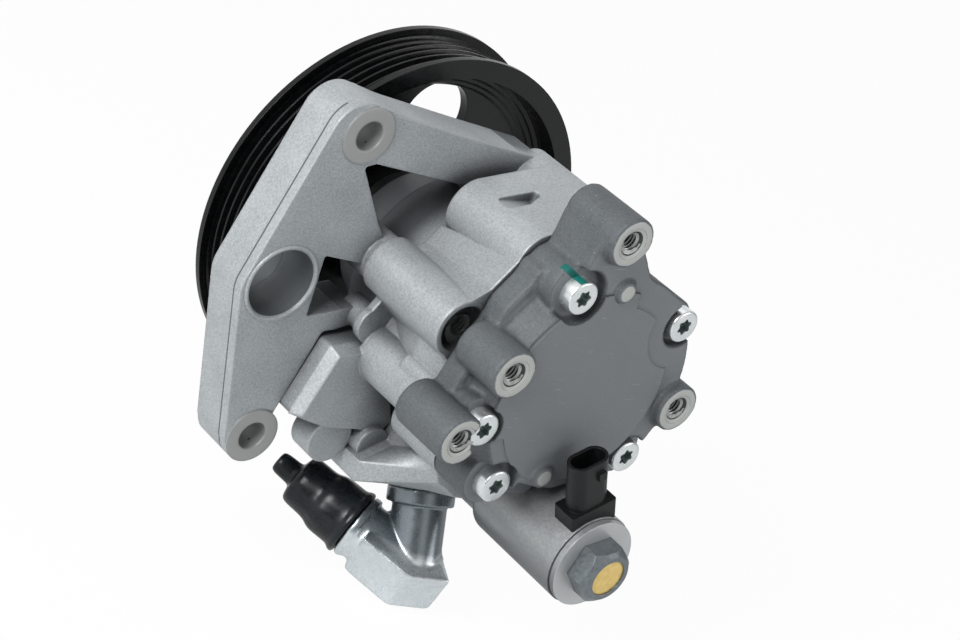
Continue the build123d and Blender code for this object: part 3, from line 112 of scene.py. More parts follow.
def linear(hex_colour):
    """Linear red, green, blue and alpha of an sRGB hex colour."""
    parts = [int(hex_colour[i:i + 2], 16) / 255 for i in (1, 3, 5)]
    return [p / 12.92 if p <= 0.04045 else ((p + 0.055) / 1.055) ** 2.4 for p in parts] + [1.0]


def add_node(tree, kind, settings, inputs):
    """Adds a node; an input is a value, an output socket, or a node for its first output."""
    made = tree.nodes.new(kind)
    for name, value in settings.items():
        setattr(made, name, value)
    for name, value in inputs.items():
        if isinstance(value, bpy.types.Node):
            value = value.outputs[0]
        if isinstance(value, bpy.types.NodeSocket):
            tree.links.new(value, made.inputs[name])
        else:
            made.inputs[name].default_value = value
    return made


def new_material(name, metallic, roughness):
    """A node material with its own shader; returns its tree, the shader and object coordinates."""
    material = bpy.data.materials.new(name)
    material.use_nodes = True
    tree = material.node_tree
    shader = tree.nodes["Principled BSDF"]
    shader.inputs["Metallic"].default_value = metallic
    shader.inputs["Roughness"].default_value = roughness
    place = add_node(tree, "ShaderNodeTexCoord", {}, {}).outputs["Object"]
    return tree, shader, place


print("mid grey #808080 is", round(linear("#808080")[0], 3), "in linear light")

# %% [markdown]
# ## Layers of colour
# Most surfaces are one colour with others laid over it in places: bare metal where it is milled,
# painted shade in a corner, paint on a bolt. Each layer has a mask, which is 1 where the layer
# covers and 0 elsewhere. A mask may be worked out from the place of a point or from the turn of
# the surface.

# %% Colours laid over each other
def lay_over(tree, colour, layers):
    """Lays colours over the first one in turn, each by its mask; returns the result."""
    for mask, hex_colour in layers:
        colour = add_node(tree, "ShaderNodeMix", {"data_type": "RGBA"},
                          {0: mask, 6: colour, 7: linear(hex_colour)}).outputs[2]
    return colour


print("bare metal is", [round(part, 3) for part in linear("#a3a4a2")])

# %% [markdown]
# ## Cast metal
# A casting has a fine, even grain from its mould and from blasting, and soft corners. Every corner
# also gets a painted highlight: a thin light line where the corner catches the light. The corners
# of the solids are sharp, so a Bevel node rounds them in the shading: it blends the normals of the
# faces that meet within a radius. Where that blended normal differs from the true one lies an
# edge, and the same difference places the painted highlight. The real grain is about 0.3 mm, too
# fine to show from here, so it is drawn at 0.75 mm, and slow clouds of 14 mm keep it from looking
# printed.

# %% Grain and painted edge highlights
grain_size, cloud_size = 0.75 * MM, 14 * MM


def cast_grain(tree, place, dark, light):
    """Fine grain in slow clouds; returns its colour and the grain alone."""
    cloud = add_node(tree, "ShaderNodeTexNoise", {},
                     {"Vector": place, "Scale": 1 / cloud_size, "Detail": 3.0})
    grain = add_node(tree, "ShaderNodeTexNoise", {},
                     {"Vector": place, "Scale": 1 / grain_size, "Detail": 2.0, "Roughness": 0.7})
    amount = add_node(tree, "ShaderNodeMix", {"data_type": "FLOAT"}, {0: 0.72, 2: cloud, 3: grain})
    spread = add_node(tree, "ShaderNodeMapRange", {},
                      {"Value": amount, "From Min": 0.34, "From Max": 0.66})
    body = add_node(tree, "ShaderNodeMix", {"data_type": "RGBA"},
                    {0: spread, 6: linear(dark), 7: linear(light)})
    return body.outputs[2], grain


def edge_highlight(tree, soft, strength):
    """Painted highlight mask: grows where the blended normal leaves the true one, at an edge."""
    true_normal = add_node(tree, "ShaderNodeNewGeometry", {}, {}).outputs["Normal"]
    likeness = add_node(tree, "ShaderNodeVectorMath", {"operation": "DOT_PRODUCT"},
                        {0: soft, 1: true_normal}).outputs["Value"]
    return add_node(tree, "ShaderNodeMapRange", {},
                    {"Value": likeness, "From Min": 0.98, "From Max": 0.78, "To Max": strength})


print("grain", grain_size / MM, "mm in clouds of", cloud_size / MM, "mm")

# %% [markdown]
# ## Painted shade in the hollows of a casting
# The deep hollows of a casting get painted shade. An Ambient Occlusion node finds them, because
# it counts how much of its surroundings a point sees, and they are drawn darker.

# %% Casting, from grain, painted edge highlights and painted shade in hollows
hollow_reach, hollow_sees, open_sees = 22 * MM, 0.25, 0.72


def cast_metal(name, dark, light, metallic, roughness, corner_mm, edge_light, hollow_shade_tone):
    """Cast surface; returns its tree, shader, coordinates, colour and blended normal."""
    tree, shader, place = new_material(name, metallic, roughness)
    soft = add_node(tree, "ShaderNodeBevel", {"samples": 6}, {"Radius": corner_mm * MM})
    body, grain = cast_grain(tree, place, dark, light)
    # Painted highlight: a thin light line on every edge of the casting
    highlighted = lay_over(tree, body, [(edge_highlight(tree, soft, edge_light), "#e4e6e6")])
    # Painted shade: darker where a point sees little of its surroundings
    sees = add_node(tree, "ShaderNodeAmbientOcclusion", {"samples": 6}, {"Distance": hollow_reach})
    shade = add_node(tree, "ShaderNodeMapRange", {},
                     {"Value": sees.outputs["AO"], "From Min": hollow_sees, "From Max": open_sees,
                      "To Min": hollow_shade_tone, "To Max": 1.0})
    shaded = add_node(tree, "ShaderNodeVectorMath", {"operation": "SCALE"},
                      {0: highlighted, "Scale": shade})
    bump = add_node(tree, "ShaderNodeBump", {},
                    {"Strength": 0.45, "Distance": 0.10 * MM, "Height": grain, "Normal": soft})
    tree.links.new(bump.outputs[0], shader.inputs["Normal"])
    return tree, shader, place, shaded.outputs[0], soft


print("hollows are looked for within", hollow_reach / MM, "mm")

# %% [markdown]
# ## Round spots on a surface
# Where a screw or a neighbour seats, a casting is milled flat, and the bare metal is lighter and
# smoother. These faces lie square to the shaft, so their Y is one number. A Compare node finds
# it, and the distance from a hole's axis keeps the spot round its hole. With a longer stretch
# along Y, the same mask takes in the wall of the hole.

# %% Mask of round spots
def round_spots(tree, place, spots):
    """Mask that is 1 on each spot, given as X, Z, radius, lowest and highest Y in mm."""
    split = add_node(tree, "ShaderNodeSeparateXYZ", {}, {0: place})
    flat = add_node(tree, "ShaderNodeCombineXYZ", {},
                    {0: split.outputs["X"], 2: split.outputs["Z"]})
    mask = 0.0
    for x, z, radius, low, high in spots:
        away = add_node(tree, "ShaderNodeVectorMath", {"operation": "DISTANCE"},
                        {0: flat, 1: (x * MM, 0, z * MM)}).outputs["Value"]
        near = add_node(tree, "ShaderNodeMath", {"operation": "LESS_THAN"},
                        {0: away, 1: radius * MM})
        middle, reach = (low + high) / 2 * MM, (high - low) / 2 * MM
        level = add_node(tree, "ShaderNodeMath", {"operation": "COMPARE"},
                         {0: split.outputs["Y"], 1: middle, 2: reach})
        both = add_node(tree, "ShaderNodeMath", {"operation": "MULTIPLY"}, {0: near, 1: level})
        mask = add_node(tree, "ShaderNodeMath", {"operation": "MAXIMUM"}, {0: mask, 1: both})
    return mask


bracket_holes = ((-69.5, 54.7), (-69.5, -54.7))
bracket_spots = [(x, z, 9.9, -47.3, -47.1) for x, z in bracket_holes]
bracket_spots += [(x, z, 5.2, -48.0, -29.0) for x, z in bracket_holes]
print("milled spots and hole walls of the bracket:", len(bracket_spots))

# %% [markdown]
# ## Front housing: as-cast aluminium
# Light grey aluminium, blasted, which gives a bright, dry, sparkling grey. Its milled spots are
# the faces round the two bracket holes and the holes themselves. The inside of the bracket's tube
# gets painted shade, and the neck behind the arm gets a painted shadow. A thin dark line runs along
# the bracket's outer wall, where the mould's halves met: the wall is found by where it looks and
# lies, and the line by its Y.

# %% Housing: spots, painted shade in the tube and mould line
tree, shader, place, colour, soft = cast_metal(
    "as_cast_aluminium", "#969a9d", "#b8bcbe", 0.45, 0.50, 1.2, 0.30, 0.28)
tube_x, tube_z = -81.2, 1.8
milled = round_spots(tree, place, bracket_spots)
# Painted shade inside the bracket's tube
tube_shade = round_spots(tree, place, [(tube_x, tube_z, 12.2, -46.4, -18.0)])
split = add_node(tree, "ShaderNodeSeparateXYZ", {}, {0: place})
outward = add_node(tree, "ShaderNodeSeparateXYZ", {}, {0: soft})
looks_out = add_node(tree, "ShaderNodeMath", {"operation": "LESS_THAN"},
                     {0: outward.outputs["X"], 1: -0.55})
lies_out = add_node(tree, "ShaderNodeMath", {"operation": "LESS_THAN"},
                    {0: split.outputs["X"], 1: -66 * MM})
wall = add_node(tree, "ShaderNodeMath", {"operation": "MULTIPLY"}, {0: looks_out, 1: lies_out})
mould_y, half_line = -42.9 * MM, 0.33 * MM
line = add_node(tree, "ShaderNodeMath", {"operation": "COMPARE"},
                {0: split.outputs["Y"], 1: mould_y, 2: half_line})
mould_line = add_node(tree, "ShaderNodeMath", {"operation": "MULTIPLY"}, {0: wall, 1: line})
print("mould line at y", mould_y / MM, "mm")

# %% Housing: painted shadow on the neck, and all the layers
# Painted shadow on the neck behind the arm, growing towards the front along Y
neck_radius, shadow_starts, shadow_full = 53 * MM, -47 * MM, -40 * MM
flat = add_node(tree, "ShaderNodeCombineXYZ", {}, {0: split.outputs["X"], 2: split.outputs["Z"]})
from_shaft = add_node(tree, "ShaderNodeVectorMath", {"operation": "LENGTH"},
                      {0: flat}).outputs["Value"]
inner = add_node(tree, "ShaderNodeMath", {"operation": "LESS_THAN"},
                 {0: from_shaft, 1: neck_radius})
behind = add_node(tree, "ShaderNodeMapRange", {},
                  {"Value": split.outputs["Y"], "From Min": shadow_starts,
                   "From Max": shadow_full, "To Max": 0.85})
neck_shadow = add_node(tree, "ShaderNodeMath", {"operation": "MULTIPLY"}, {0: inner, 1: behind})
layered = lay_over(tree, colour, [(milled, "#a3a4a2"), (neck_shadow, "#55595b"),
                                  (tube_shade, "#5f6365"), (mould_line, "#5d6062")])
tree.links.new(layered, shader.inputs["Base Color"])
print("housing material:", len(tree.nodes), "nodes")

# %% [markdown]
# ## Rear cover: darker die casting
# The cover is cast in a darker alloy, which gives a dull, even grey. The faces that look to the
# rear get painted light, a little lighter than its flanks, and they carry small light scratches.
# Its boss faces, the mouths of the threaded holes and two small studs are milled bright, and the
# walls of the holes lie in their own shade.

# %% Cover: milled spots, painted light on rear faces and scratches
tree, shader, place, colour, soft = cast_metal(
    "dark_cast_aluminium", "#505457", "#64686b", 0.22, 0.62, 0.9, 0.12, 0.45)
boss_points = ((-13.9, 56.9), (-40.0, 9.8), (-50.6, -14.0), (42.7, -3.8))
stud_points = ((-3.9, 38.4), (-4.3, -30.5))
cover_spots = [(x, z, 8.6, -114.4, -114.2) for x, z in boss_points]
cover_spots += [(x, z, 5.3, -114.4, -113.2) for x, z in boss_points]
cover_spots += [(x, z, 4.2, -112.6, -112.4) for x, z in stud_points]
milled = round_spots(tree, place, cover_spots)
hole_walls = round_spots(tree, place, [(x, z, 4.3, -114.25, -95.0) for x, z in boss_points])
facing = add_node(tree, "ShaderNodeSeparateXYZ", {}, {0: soft})
# Painted light: faces that look to the rear are drawn lighter
rear_faces_lit = add_node(tree, "ShaderNodeMapRange", {},
                    {"Value": facing.outputs["Y"], "From Min": -0.80, "From Max": -0.98,
                     "To Max": 0.42})
scratch_length, scratch_width = 9 * MM, 0.6 * MM
stretched = add_node(tree, "ShaderNodeMapping", {},
                     {"Vector": place, "Rotation": (0.3, 0.9, 0.2),
                      "Scale": (1 / scratch_length, 1 / scratch_width, 1 / scratch_width)})
scratch = add_node(tree, "ShaderNodeTexNoise", {},
                   {"Vector": stretched, "Scale": 1.0, "Detail": 1.0})
scratched = add_node(tree, "ShaderNodeMapRange", {},
                     {"Value": scratch, "From Min": 0.72, "From Max": 0.80, "To Max": 0.35})
print("spots on the cover:", len(cover_spots) + len(boss_points))

# %% [markdown]
# ## Dash of paint on the cover
# A worker marked the first bolt with a dash of green paint, from the cover over the seat of the
# bolt. The dash is a short band with ragged sides. A Mapping node puts its own axes in the middle
# of the band and along it, so each side of the band is one comparison, and a noise as coarse as
# the hairs of the brush frays it.

# %% Cover: dash and all the layers
dash_place, dash_turn = (-23.2 * MM, -104.3 * MM, 40.6 * MM), math.radians(-152)
half_width, half_length, inner_end, brush_size = 1.15 * MM, 1.7 * MM, -2.5 * MM, 1.2 * MM
dash_frame = add_node(tree, "ShaderNodeMapping", {"vector_type": "TEXTURE"},
                      {"Vector": place, "Location": dash_place, "Rotation": (0, dash_turn, 0)})
dash_split = add_node(tree, "ShaderNodeSeparateXYZ", {}, {0: dash_frame})
brush = add_node(tree, "ShaderNodeTexNoise", {}, {"Vector": place, "Scale": 1 / brush_size})
ragged = add_node(tree, "ShaderNodeMath", {"operation": "MULTIPLY_ADD"},
                  {0: brush, 1: brush_size, 2: dash_split.outputs["Z"]})
across = add_node(tree, "ShaderNodeMath", {"operation": "COMPARE"},
                  {0: ragged, 1: brush_size / 2, 2: half_width})
along = add_node(tree, "ShaderNodeMath", {"operation": "COMPARE"},
                 {0: dash_split.outputs["Y"], 1: 0.0, 2: half_length})
outside = add_node(tree, "ShaderNodeMath", {"operation": "GREATER_THAN"},
                   {0: dash_split.outputs["X"], 1: inner_end})
band = add_node(tree, "ShaderNodeMath", {"operation": "MULTIPLY"}, {0: across, 1: along})
dash = add_node(tree, "ShaderNodeMath", {"operation": "MULTIPLY"}, {0: band, 1: outside})
layered = lay_over(tree, colour, [(rear_faces_lit, "#999da0"), (scratched, "#b9bbba"),
                                  (milled, "#b6b8b4"), (hole_walls, "#3f4242"), (dash, "#0a645b")])
tree.links.new(layered, shader.inputs["Base Color"])
print("cover material:", len(tree.nodes), "nodes")

# %% [markdown]
# ## Turned, plated and moulded surfaces
# The other finishes differ in colour, metal or not, and roughness, and each has a pattern of its
# own scale: turning marks, rolling streaks, the waviness under a zinc plate or the fine spark
# texture of a mould. One table holds them, with a line on what each gives the eye. A stretched
# noise makes marks that run round or along a piece. A Bevel node rounds the sharp corners of the
# CAD pieces by a small radius. A radius of 0 leaves it out, for pieces modelled with round edges.

# %% Table of finishes
# name, dark colour, light colour, metallic, roughness low and high,
# pattern size in mm along X, Y and Z, bump height in mm, corner radius in mm
finishes = {
    # Sprayed over pressed steel: deep black with a soft sheen, wavy like orange peel
    "pulley_black": ("satin_black_paint", "#060708", "#0a0b0c", 0.0, 0.20, 0.28,
                     (2.5, 2.5, 2.5), 0.003, 0.35),
    # Cut on a lathe: fine rings that draw the light out across them
    "hub_steel": ("turned_steel", "#7c7e80", "#8f9193", 1.0, 0.30, 0.42,
                  (6.0, 0.6, 6.0), 0.01, 0.25),
    # Thin bright zinc: nearly white, with a calm and slightly clouded shine
    "zinc_screw": ("bright_zinc_plate_on_screws", "#dde1e2", "#e6e9e9", 0.85, 0.27, 0.30,
                   (2.6, 2.6, 2.6), 0.001, 0.0),
    # Ground to size: an even grey with short fine marks
    "ground_steel": ("ground_steel", "#a4a6a8", "#b6b8ba", 1.0, 0.22, 0.32,
                     (5.0, 0.7, 5.0), 0.005, 0.15),
    # Polished races and balls: nearly a mirror, with small sharp lights
    "bearing_steel": ("polished_bearing_steel", "#b4b6b8", "#c2c4c6", 1.0, 0.12, 0.20,
                      (4.0, 1.0, 4.0), 0.003, 0.15),
    # Turned brass: a warm yellow, dulled by fine marks
    "brass_part": ("turned_brass", "#e2c377", "#efd48d", 0.75, 0.40, 0.55,
                   (1.6, 1.6, 1.6), 0.01, 0.30),
    # Hardened wire: dark grey with a dull shine
    "spring_steel": ("dark_spring_steel", "#4a4b4d", "#5a5b5d", 1.0, 0.32, 0.45,
                     (1.5, 1.5, 1.5), 0.01, 0.10),
    # Moulded rubber with a dry skin: black and matt
    "seal_rubber": ("matt_black_rubber", "#151517", "#1d1d1f", 0.0, 0.55, 0.70,
                    (0.8, 0.8, 0.8), 0.01, 0.15),
    # Pressed from powder: dull, with fine pores that break the light
    "sintered_iron": ("sintered_iron", "#5d5e60", "#717274", 0.8, 0.45, 0.60,
                      (0.8, 0.8, 0.8), 0.02, 0.15),
    # Drawn sheet with a thin plate: light satin grey
    "can_steel": ("satin_plated_steel", "#97999a", "#a4a6a7", 0.60, 0.36, 0.46,
                  (0.9, 0.9, 0.9), 0.006, 0.45),
    # Plated and dipped: blue-grey and half matt
    "nut_steel": ("grey_plated_steel", "#71777b", "#7f8589", 0.85, 0.36, 0.46,
                  (1.2, 1.2, 1.2), 0.005, 0.40),
    # Wound wire under varnish: red-brown turns, half a millimetre wide
    "copper_coil": ("enamelled_copper_wire", "#8a4a22", "#b0683a", 0.7, 0.35, 0.50,
                    (9.0, 0.5, 9.0), 0.05, 0.10),
    # Moulded in an eroded mould: black, with a fine dull grain
    "connector_plastic": ("moulded_black_plastic", "#0b0c0d", "#121315", 0.0, 0.36, 0.50,
                          (0.7, 0.7, 0.7), 0.012, 0.40),
    # Tin plate: a soft silvery shine
    "pin_tin": ("tin_plate", "#b4b5b4", "#c6c7c6", 1.0, 0.25, 0.38,
                (0.8, 0.8, 0.8), 0.005, 0.10),
    # Bright zinc over a rough blank: pale, with broad wavy lights
    "zinc_fitting": ("bright_zinc_plate_on_castings", "#d2d8dc", "#dadfe2", 0.85, 0.26, 0.31,
                     (2.2, 2.2, 2.8), 0.004, 0.0),
    # Moulded rubber with a smooth skin: black, with long soft lights over its dents
    "cap_rubber": ("smooth_black_rubber", "#16181c", "#1d2125", 0.0, 0.22, 0.34,
                   (4.0, 4.0, 4.0), 0.05, 0.60),
}
print("finishes in the table:", len(finishes))

# %% One recipe for the table
noise_low, noise_high = 0.35, 0.65


def finish_material(name, dark, light, metallic, smooth, rough, size_mm, height_mm, corner_mm):
    """A plain finish whose colour, roughness and bump follow one stretched noise."""
    tree, shader, place = new_material(name, metallic, (smooth + rough) / 2)
    scaled = add_node(tree, "ShaderNodeMapping", {},
                      {"Vector": place, "Scale": [1 / (s * MM) for s in size_mm]})
    marks = add_node(tree, "ShaderNodeTexNoise", {},
                     {"Vector": scaled, "Scale": 1.0, "Detail": 3.0})
    spread = add_node(tree, "ShaderNodeMapRange", {},
                      {"Value": marks, "From Min": noise_low, "From Max": noise_high})
    body = add_node(tree, "ShaderNodeMix", {"data_type": "RGBA"},
                    {0: spread, 6: linear(dark), 7: linear(light)})
    gloss = add_node(tree, "ShaderNodeMapRange", {},
                     {"Value": marks, "From Min": noise_low, "From Max": noise_high,
                      "To Min": smooth, "To Max": rough})
    bump = add_node(tree, "ShaderNodeBump", {},
                    {"Strength": 0.6, "Distance": height_mm * MM, "Height": marks})
    if corner_mm:
        soft = add_node(tree, "ShaderNodeBevel", {"samples": 4}, {"Radius": corner_mm * MM})
        tree.links.new(soft.outputs[0], bump.inputs["Normal"])
    tree.links.new(body.outputs[2], shader.inputs["Base Color"])
    tree.links.new(gloss.outputs[0], shader.inputs["Roughness"])
    tree.links.new(bump.outputs[0], shader.inputs["Normal"])
    return bpy.data.materials[name]


materials = {"housing_cast": bpy.data.materials["as_cast_aluminium"],
             "cover_cast": bpy.data.materials["dark_cast_aluminium"]}
for slot, values in finishes.items():
    materials[slot] = finish_material(*values)
print("materials:", ", ".join(material.name for material in materials.values()))

# %% [markdown]
# ## Painted shade on a few finishes
# The stem of the elbow stands in the shade of the housing, so it gets painted shade. The can is
# darker underneath, from painted shade, and its end disc is bright, because it is punched from
# sheet. The sockets of the cover bolts are deep, and they get painted shade. Each is one more
# layer, with a mask by height or by a round spot. Black paint, plastic and rubber mirror less
# than their usual amount here, so their specular level goes down.

# %% Painted shade on the elbow, the can and the screws, and the bright end disc
def height_mask(tree, place, none_mm, full_mm):
    """Mask that grows from 0 to 1 between two heights on the Z axis."""
    height = add_node(tree, "ShaderNodeSeparateXYZ", {}, {0: place}).outputs["Z"]
    return add_node(tree, "ShaderNodeMapRange", {},
                    {"Value": height, "From Min": none_mm * MM, "From Max": full_mm * MM})


bolt_circle, bolt_angles = 40.9, (120.4, 39.0, -37.0, -123.8, -162.5)
bolt_points = [(bolt_circle * math.cos(math.radians(a)), bolt_circle * math.sin(math.radians(a)))
               for a in bolt_angles]
socket_shade_spots = [(x, z, 3.4, -110.7, -108.0) for x, z in bolt_points]
end_disc = [(16.1, -53.7, 17.0, -129.1, -128.9)]
for slot, make_mask, where, hex_colour in (
        # Painted shade on the elbow's stem, above its block
        ("zinc_fitting", height_mask, (-87.5, -84.5), "#7c8388"),
        # Painted shade under the can, darker towards the bottom
        ("can_steel", height_mask, (-52.0, -64.0), "#646668"),
        ("can_steel", round_spots, (end_disc,), "#bfc0c1"),
        # Painted shade in the bolt sockets
        ("zinc_screw", round_spots, (socket_shade_spots,), "#9aa5a2")):
    tree = materials[slot].node_tree
    place = tree.nodes["Texture Coordinate"].outputs["Object"]
    base = tree.nodes["Principled BSDF"].inputs["Base Color"]
    layered = lay_over(tree, base.links[0].from_socket,
                       [(make_mask(tree, place, *where), hex_colour)])
    tree.links.new(layered, base)
    print(materials[slot].name, "has", len(tree.nodes), "nodes")

# %% Dull blacks, and every node gets its material
for slot in ("pulley_black", "connector_plastic", "cap_rubber", "seal_rubber"):
    shader = materials[slot].node_tree.nodes["Principled BSDF"]
    shader.inputs["Specular IOR Level"].default_value = 0.30
for row in frame["record"]["subparts"]:
    nodes[row["node"]].data.materials.clear()
    nodes[row["node"]].data.materials.append(materials[row["material_slot"]])
print("materials:", len(materials), "for", len(nodes), "nodes")

# %% [markdown]
# ## Small pieces made by hand
# A few helpers serve all the pieces below. An operator acts on all that is selected, so one helper
# clears the selection, and one picks faces, edges or vertices by a test. Another moves the place of
# a new primitive into its mesh, and one sets a modifier and applies it. The last one finishes a
# piece: it shades it smooth up to an angle, gives it its material, and lets it ride on its body.

# %% Helpers for shaping
def clear_selection():
    """Nothing is selected afterwards, so the next operator acts on its own new piece."""
    for thing in bpy.context.selected_objects:
        thing.select_set(False)


def new_piece():
    """The primitive that was just added, with its place moved into its mesh."""
    bpy.ops.object.transform_apply(location=True, rotation=True, scale=True)
    return bpy.context.object


def pick(piece, kind, test):
    """In edit mode, selects only the faces, edges or verts that pass a test."""
    shape = bmesh.from_edit_mesh(piece.data)
    for group in (shape.verts, shape.edges, shape.faces):
        for element in group:
            element.select_set(False)
    for element in getattr(shape, kind):
        if test(element):
            element.select_set(True)
    bmesh.update_edit_mesh(piece.data)


def shape_with(piece, kind, **settings):
    """Gives the active piece a modifier with its settings, and applies it."""
    modifier = piece.modifiers.new("shaping", kind)
    for name, value in settings.items():
        setattr(modifier, name, value)
    bpy.ops.object.modifier_apply(modifier="shaping")


clear_selection()
print("selected now:", len(bpy.context.selected_objects))


# %% Helpers for copying and finishing
def copy_piece(piece, matrix):
    """A copy with its own mesh, moved by a matrix that goes into the mesh."""
    copy = piece.copy()
    copy.data = piece.data.copy()
    bpy.context.scene.collection.objects.link(copy)
    copy.data.transform(matrix)
    return copy


def finish_piece(piece, name, body, slot, angle=35, material=None):
    """Names a piece, smooths it, gives it a material and ties it to a body."""
    piece.name = name
    piece.data.name = name
    clear_selection()
    piece.select_set(True)
    bpy.context.view_layer.objects.active = piece
    bpy.ops.object.shade_smooth_by_angle(angle=math.radians(angle))
    piece.data.materials.clear()
    piece.data.materials.append(material or materials[slot])
    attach(piece, body)
    print(name, len(piece.data.polygons), "faces")


print("materials ready for new pieces:", len(materials))

# %% [markdown]
# ## Cover bolts
# A cheese-head screw with a six-lobed socket. The head is a cylinder whose top edge is bevelled.
# An inset on its top gives the ring round the socket, the vertices of the ring are drawn in to
# make the lobes, each by its step within a lobe, and an extrusion sinks them. The shank is
# extruded from an inset of the underside. It is modelled once, upright at the origin, and copied
# to its five places.

# %% Head, rim and the ring of six lobes
head_radius, head_height, shank_radius, shank_length = 5.8 * MM, 5.0 * MM, 3.5 * MM, 29.8 * MM
rim_width, ring_steps, lobe_depth = 1.9 * MM, 48, 0.13
bpy.ops.mesh.primitive_cylinder_add(vertices=ring_steps, radius=head_radius, depth=head_height,
                                    location=(0, 0, head_height / 2), end_fill_type="NGON")
bolt = new_piece()
bpy.ops.object.mode_set(mode="EDIT")
pick(bolt, "edges", lambda e: all(v.co.z > head_height - 1e-6 for v in e.verts))
bpy.ops.mesh.bevel(offset=0.8 * MM, segments=3, profile=0.55)
pick(bolt, "faces", lambda f: f.normal.z > 0.99 and len(f.verts) > 12)
bpy.ops.mesh.inset(thickness=rim_width, depth=0.0)
for step in range(8):
    pick(bolt, "verts", lambda v: v.co.z > head_height - 1e-5 and v.co.xy.length < 3.4 * MM
         and round(math.atan2(v.co.y, v.co.x) / math.radians(360 / ring_steps)) % 8 == step)
    lobe = 1 - lobe_depth + lobe_depth * math.cos(step * math.pi / 4)
    bpy.ops.transform.resize(value=(lobe, lobe, 1), center_override=(0, 0, head_height))
print("socket ring has", ring_steps // 8, "lobes")

# %% Sunk socket and shank
socket_edge, socket_depth, socket_floor = 0.18 * MM, 2.4 * MM, 0.86
pick(bolt, "faces", lambda f: f.normal.z > 0.99 and f.calc_center_median().xy.length < 1e-5)
bpy.ops.mesh.inset(thickness=socket_edge, depth=-socket_edge)
bpy.ops.mesh.extrude_region_move(TRANSFORM_OT_translate={"value": (0, 0, -socket_depth)})
bpy.ops.transform.resize(value=(socket_floor, socket_floor, 1),
                         center_override=(0, 0, head_height - socket_edge - socket_depth))
pick(bolt, "faces", lambda f: f.normal.z < -0.99 and f.calc_center_median().z < 1e-6)
bpy.ops.mesh.inset(thickness=head_radius - shank_radius, depth=0.0)
bpy.ops.mesh.extrude_region_move(TRANSFORM_OT_translate={"value": (0, 0, -shank_length)})
bpy.ops.object.mode_set(mode="OBJECT")
print("bolt has", len(bolt.data.polygons), "faces")

# %% Five bolts in their places
seat_y, socket_turns = -105.8 * MM, (12, 35, 50, 5, 28)
upright_to_rear = Matrix.Rotation(math.radians(90), 4, "X")
for number, ((x, z), degrees) in enumerate(zip(bolt_points, socket_turns), 1):
    spot = Matrix.Translation((x * MM, seat_y, z * MM))
    socket_turn = Matrix.Rotation(math.radians(degrees), 4, "Z")
    placed = copy_piece(bolt, spot @ upright_to_rear @ socket_turn)
    finish_piece(placed, f"cover_bolt_{number}", "pump_body", "zinc_screw")
    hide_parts("cover_bolts")
bpy.data.objects.remove(bolt)

# %% [markdown]
# ## Threads in the bosses
# A thread is one ridge that winds up the wall of its hole. The ridge's section is a small
# triangle, and the Screw modifier turns it round the axis while it climbs by the pitch, 1.25 mm a
# turn for an M8 screw. It is drawn thicker than a real one, so it shows from here. At the mouth
# the hole widens, so the first turns are spread in narrow bands until they follow it, and the
# very start runs out into the wall. The side hole is larger, so its copy is scaled up. A cut
# thread is bare metal, which gives thin bright turns on a shaded wall.

# %% One wound ridge
pitch, turns, hole_radius = 1.25 * MM, 10, 3.4 * MM
section_radius, section_x = 0.5 * MM, hole_radius - 0.12 * MM
clear_selection()
bpy.ops.mesh.primitive_circle_add(vertices=3, radius=section_radius, fill_type="NGON",
                                  location=(section_x, 0, 0), rotation=(0, 0, math.radians(90)))
ridge = new_piece()
bpy.ops.object.mode_set(mode="EDIT")
pick(ridge, "faces", lambda f: True)
bpy.ops.mesh.delete(type="ONLY_FACE")
pick(ridge, "verts", lambda v: True)
bpy.ops.transform.resize(value=(1.15, 1.25, 1), center_override=(hole_radius, 0, 0))
bpy.ops.object.mode_set(mode="OBJECT")
shape_with(ridge, "SCREW", axis="Y", angle=math.radians(360), screw_offset=pitch,
           iterations=turns, steps=32, render_steps=32)
print("thread length", round(turns * pitch / MM, 2), "mm")

# %% Closed ends, and turns that follow the mouth
mouth_ends, band_width, bands, runout = 0.3 * MM, 0.2 * MM, 10, 1.2
bpy.ops.object.mode_set(mode="EDIT")
bpy.ops.mesh.select_all(action="SELECT")
bpy.ops.mesh.remove_doubles(threshold=0.01 * MM)
bpy.ops.mesh.fill_holes(sides=4)
pick(ridge, "verts", lambda v: v.co.y < 0.1 * MM)
bpy.ops.transform.resize(value=(runout, 1, runout), center_override=(0, 0, 0))
for number in range(bands):
    low = mouth_ends - (number + 1) * band_width
    pick(ridge, "verts", lambda v: low <= v.co.y < low + band_width)
    flare = 1 + (mouth_ends - low - band_width / 2) / hole_radius
    bpy.ops.transform.resize(value=(flare, 1, flare), center_override=(0, low, 0))
bpy.ops.mesh.select_all(action="SELECT")
bpy.ops.mesh.normals_make_consistent(inside=False)
bpy.ops.object.mode_set(mode="OBJECT")
corners = (ridge.bound_box[0], ridge.bound_box[6])
print("ridge box in mm", [tuple(round(c / MM, 2) for c in corner) for corner in corners])

# %% Threads in the five holes
materials["cut_thread"] = finish_material("cut_aluminium_thread", "#9b9d9b", "#b0b2b0", 0.8,
                                          0.30, 0.42, (1.0, 1.0, 1.0), 0.003, 0.0)
thread_y, side_thread_y, side_scale = -113.3 * MM, -85.4 * MM, 1.235
for letter, (x, z) in zip("abcd", boss_points):
    thread = copy_piece(ridge, Matrix.Translation((x * MM, thread_y, z * MM)))
    finish_piece(thread, f"thread_{letter}", "pump_body", "cover_cast", 25,
                 materials["cut_thread"])
side_x, side_z = boss_points[1]
side_place = Matrix.Translation((side_x * MM, side_thread_y, side_z * MM))
side = copy_piece(ridge, side_place @ Matrix.Scale(side_scale, 4))
finish_piece(side, "thread_side", "pump_body", "housing_cast", 25, materials["cut_thread"])
bpy.data.objects.remove(ridge)

# %% [markdown]
# ## Dash of paint on the first bolt
# From the seat, the dash goes on up the flank of the head. There it is a film: a short piece of a
# tube just wider than the head, cut out of a cylinder by deleting the rest of its faces, and
# given a thickness of 0.08 mm. Marking paint dries to a flat green with streaks of the brush.

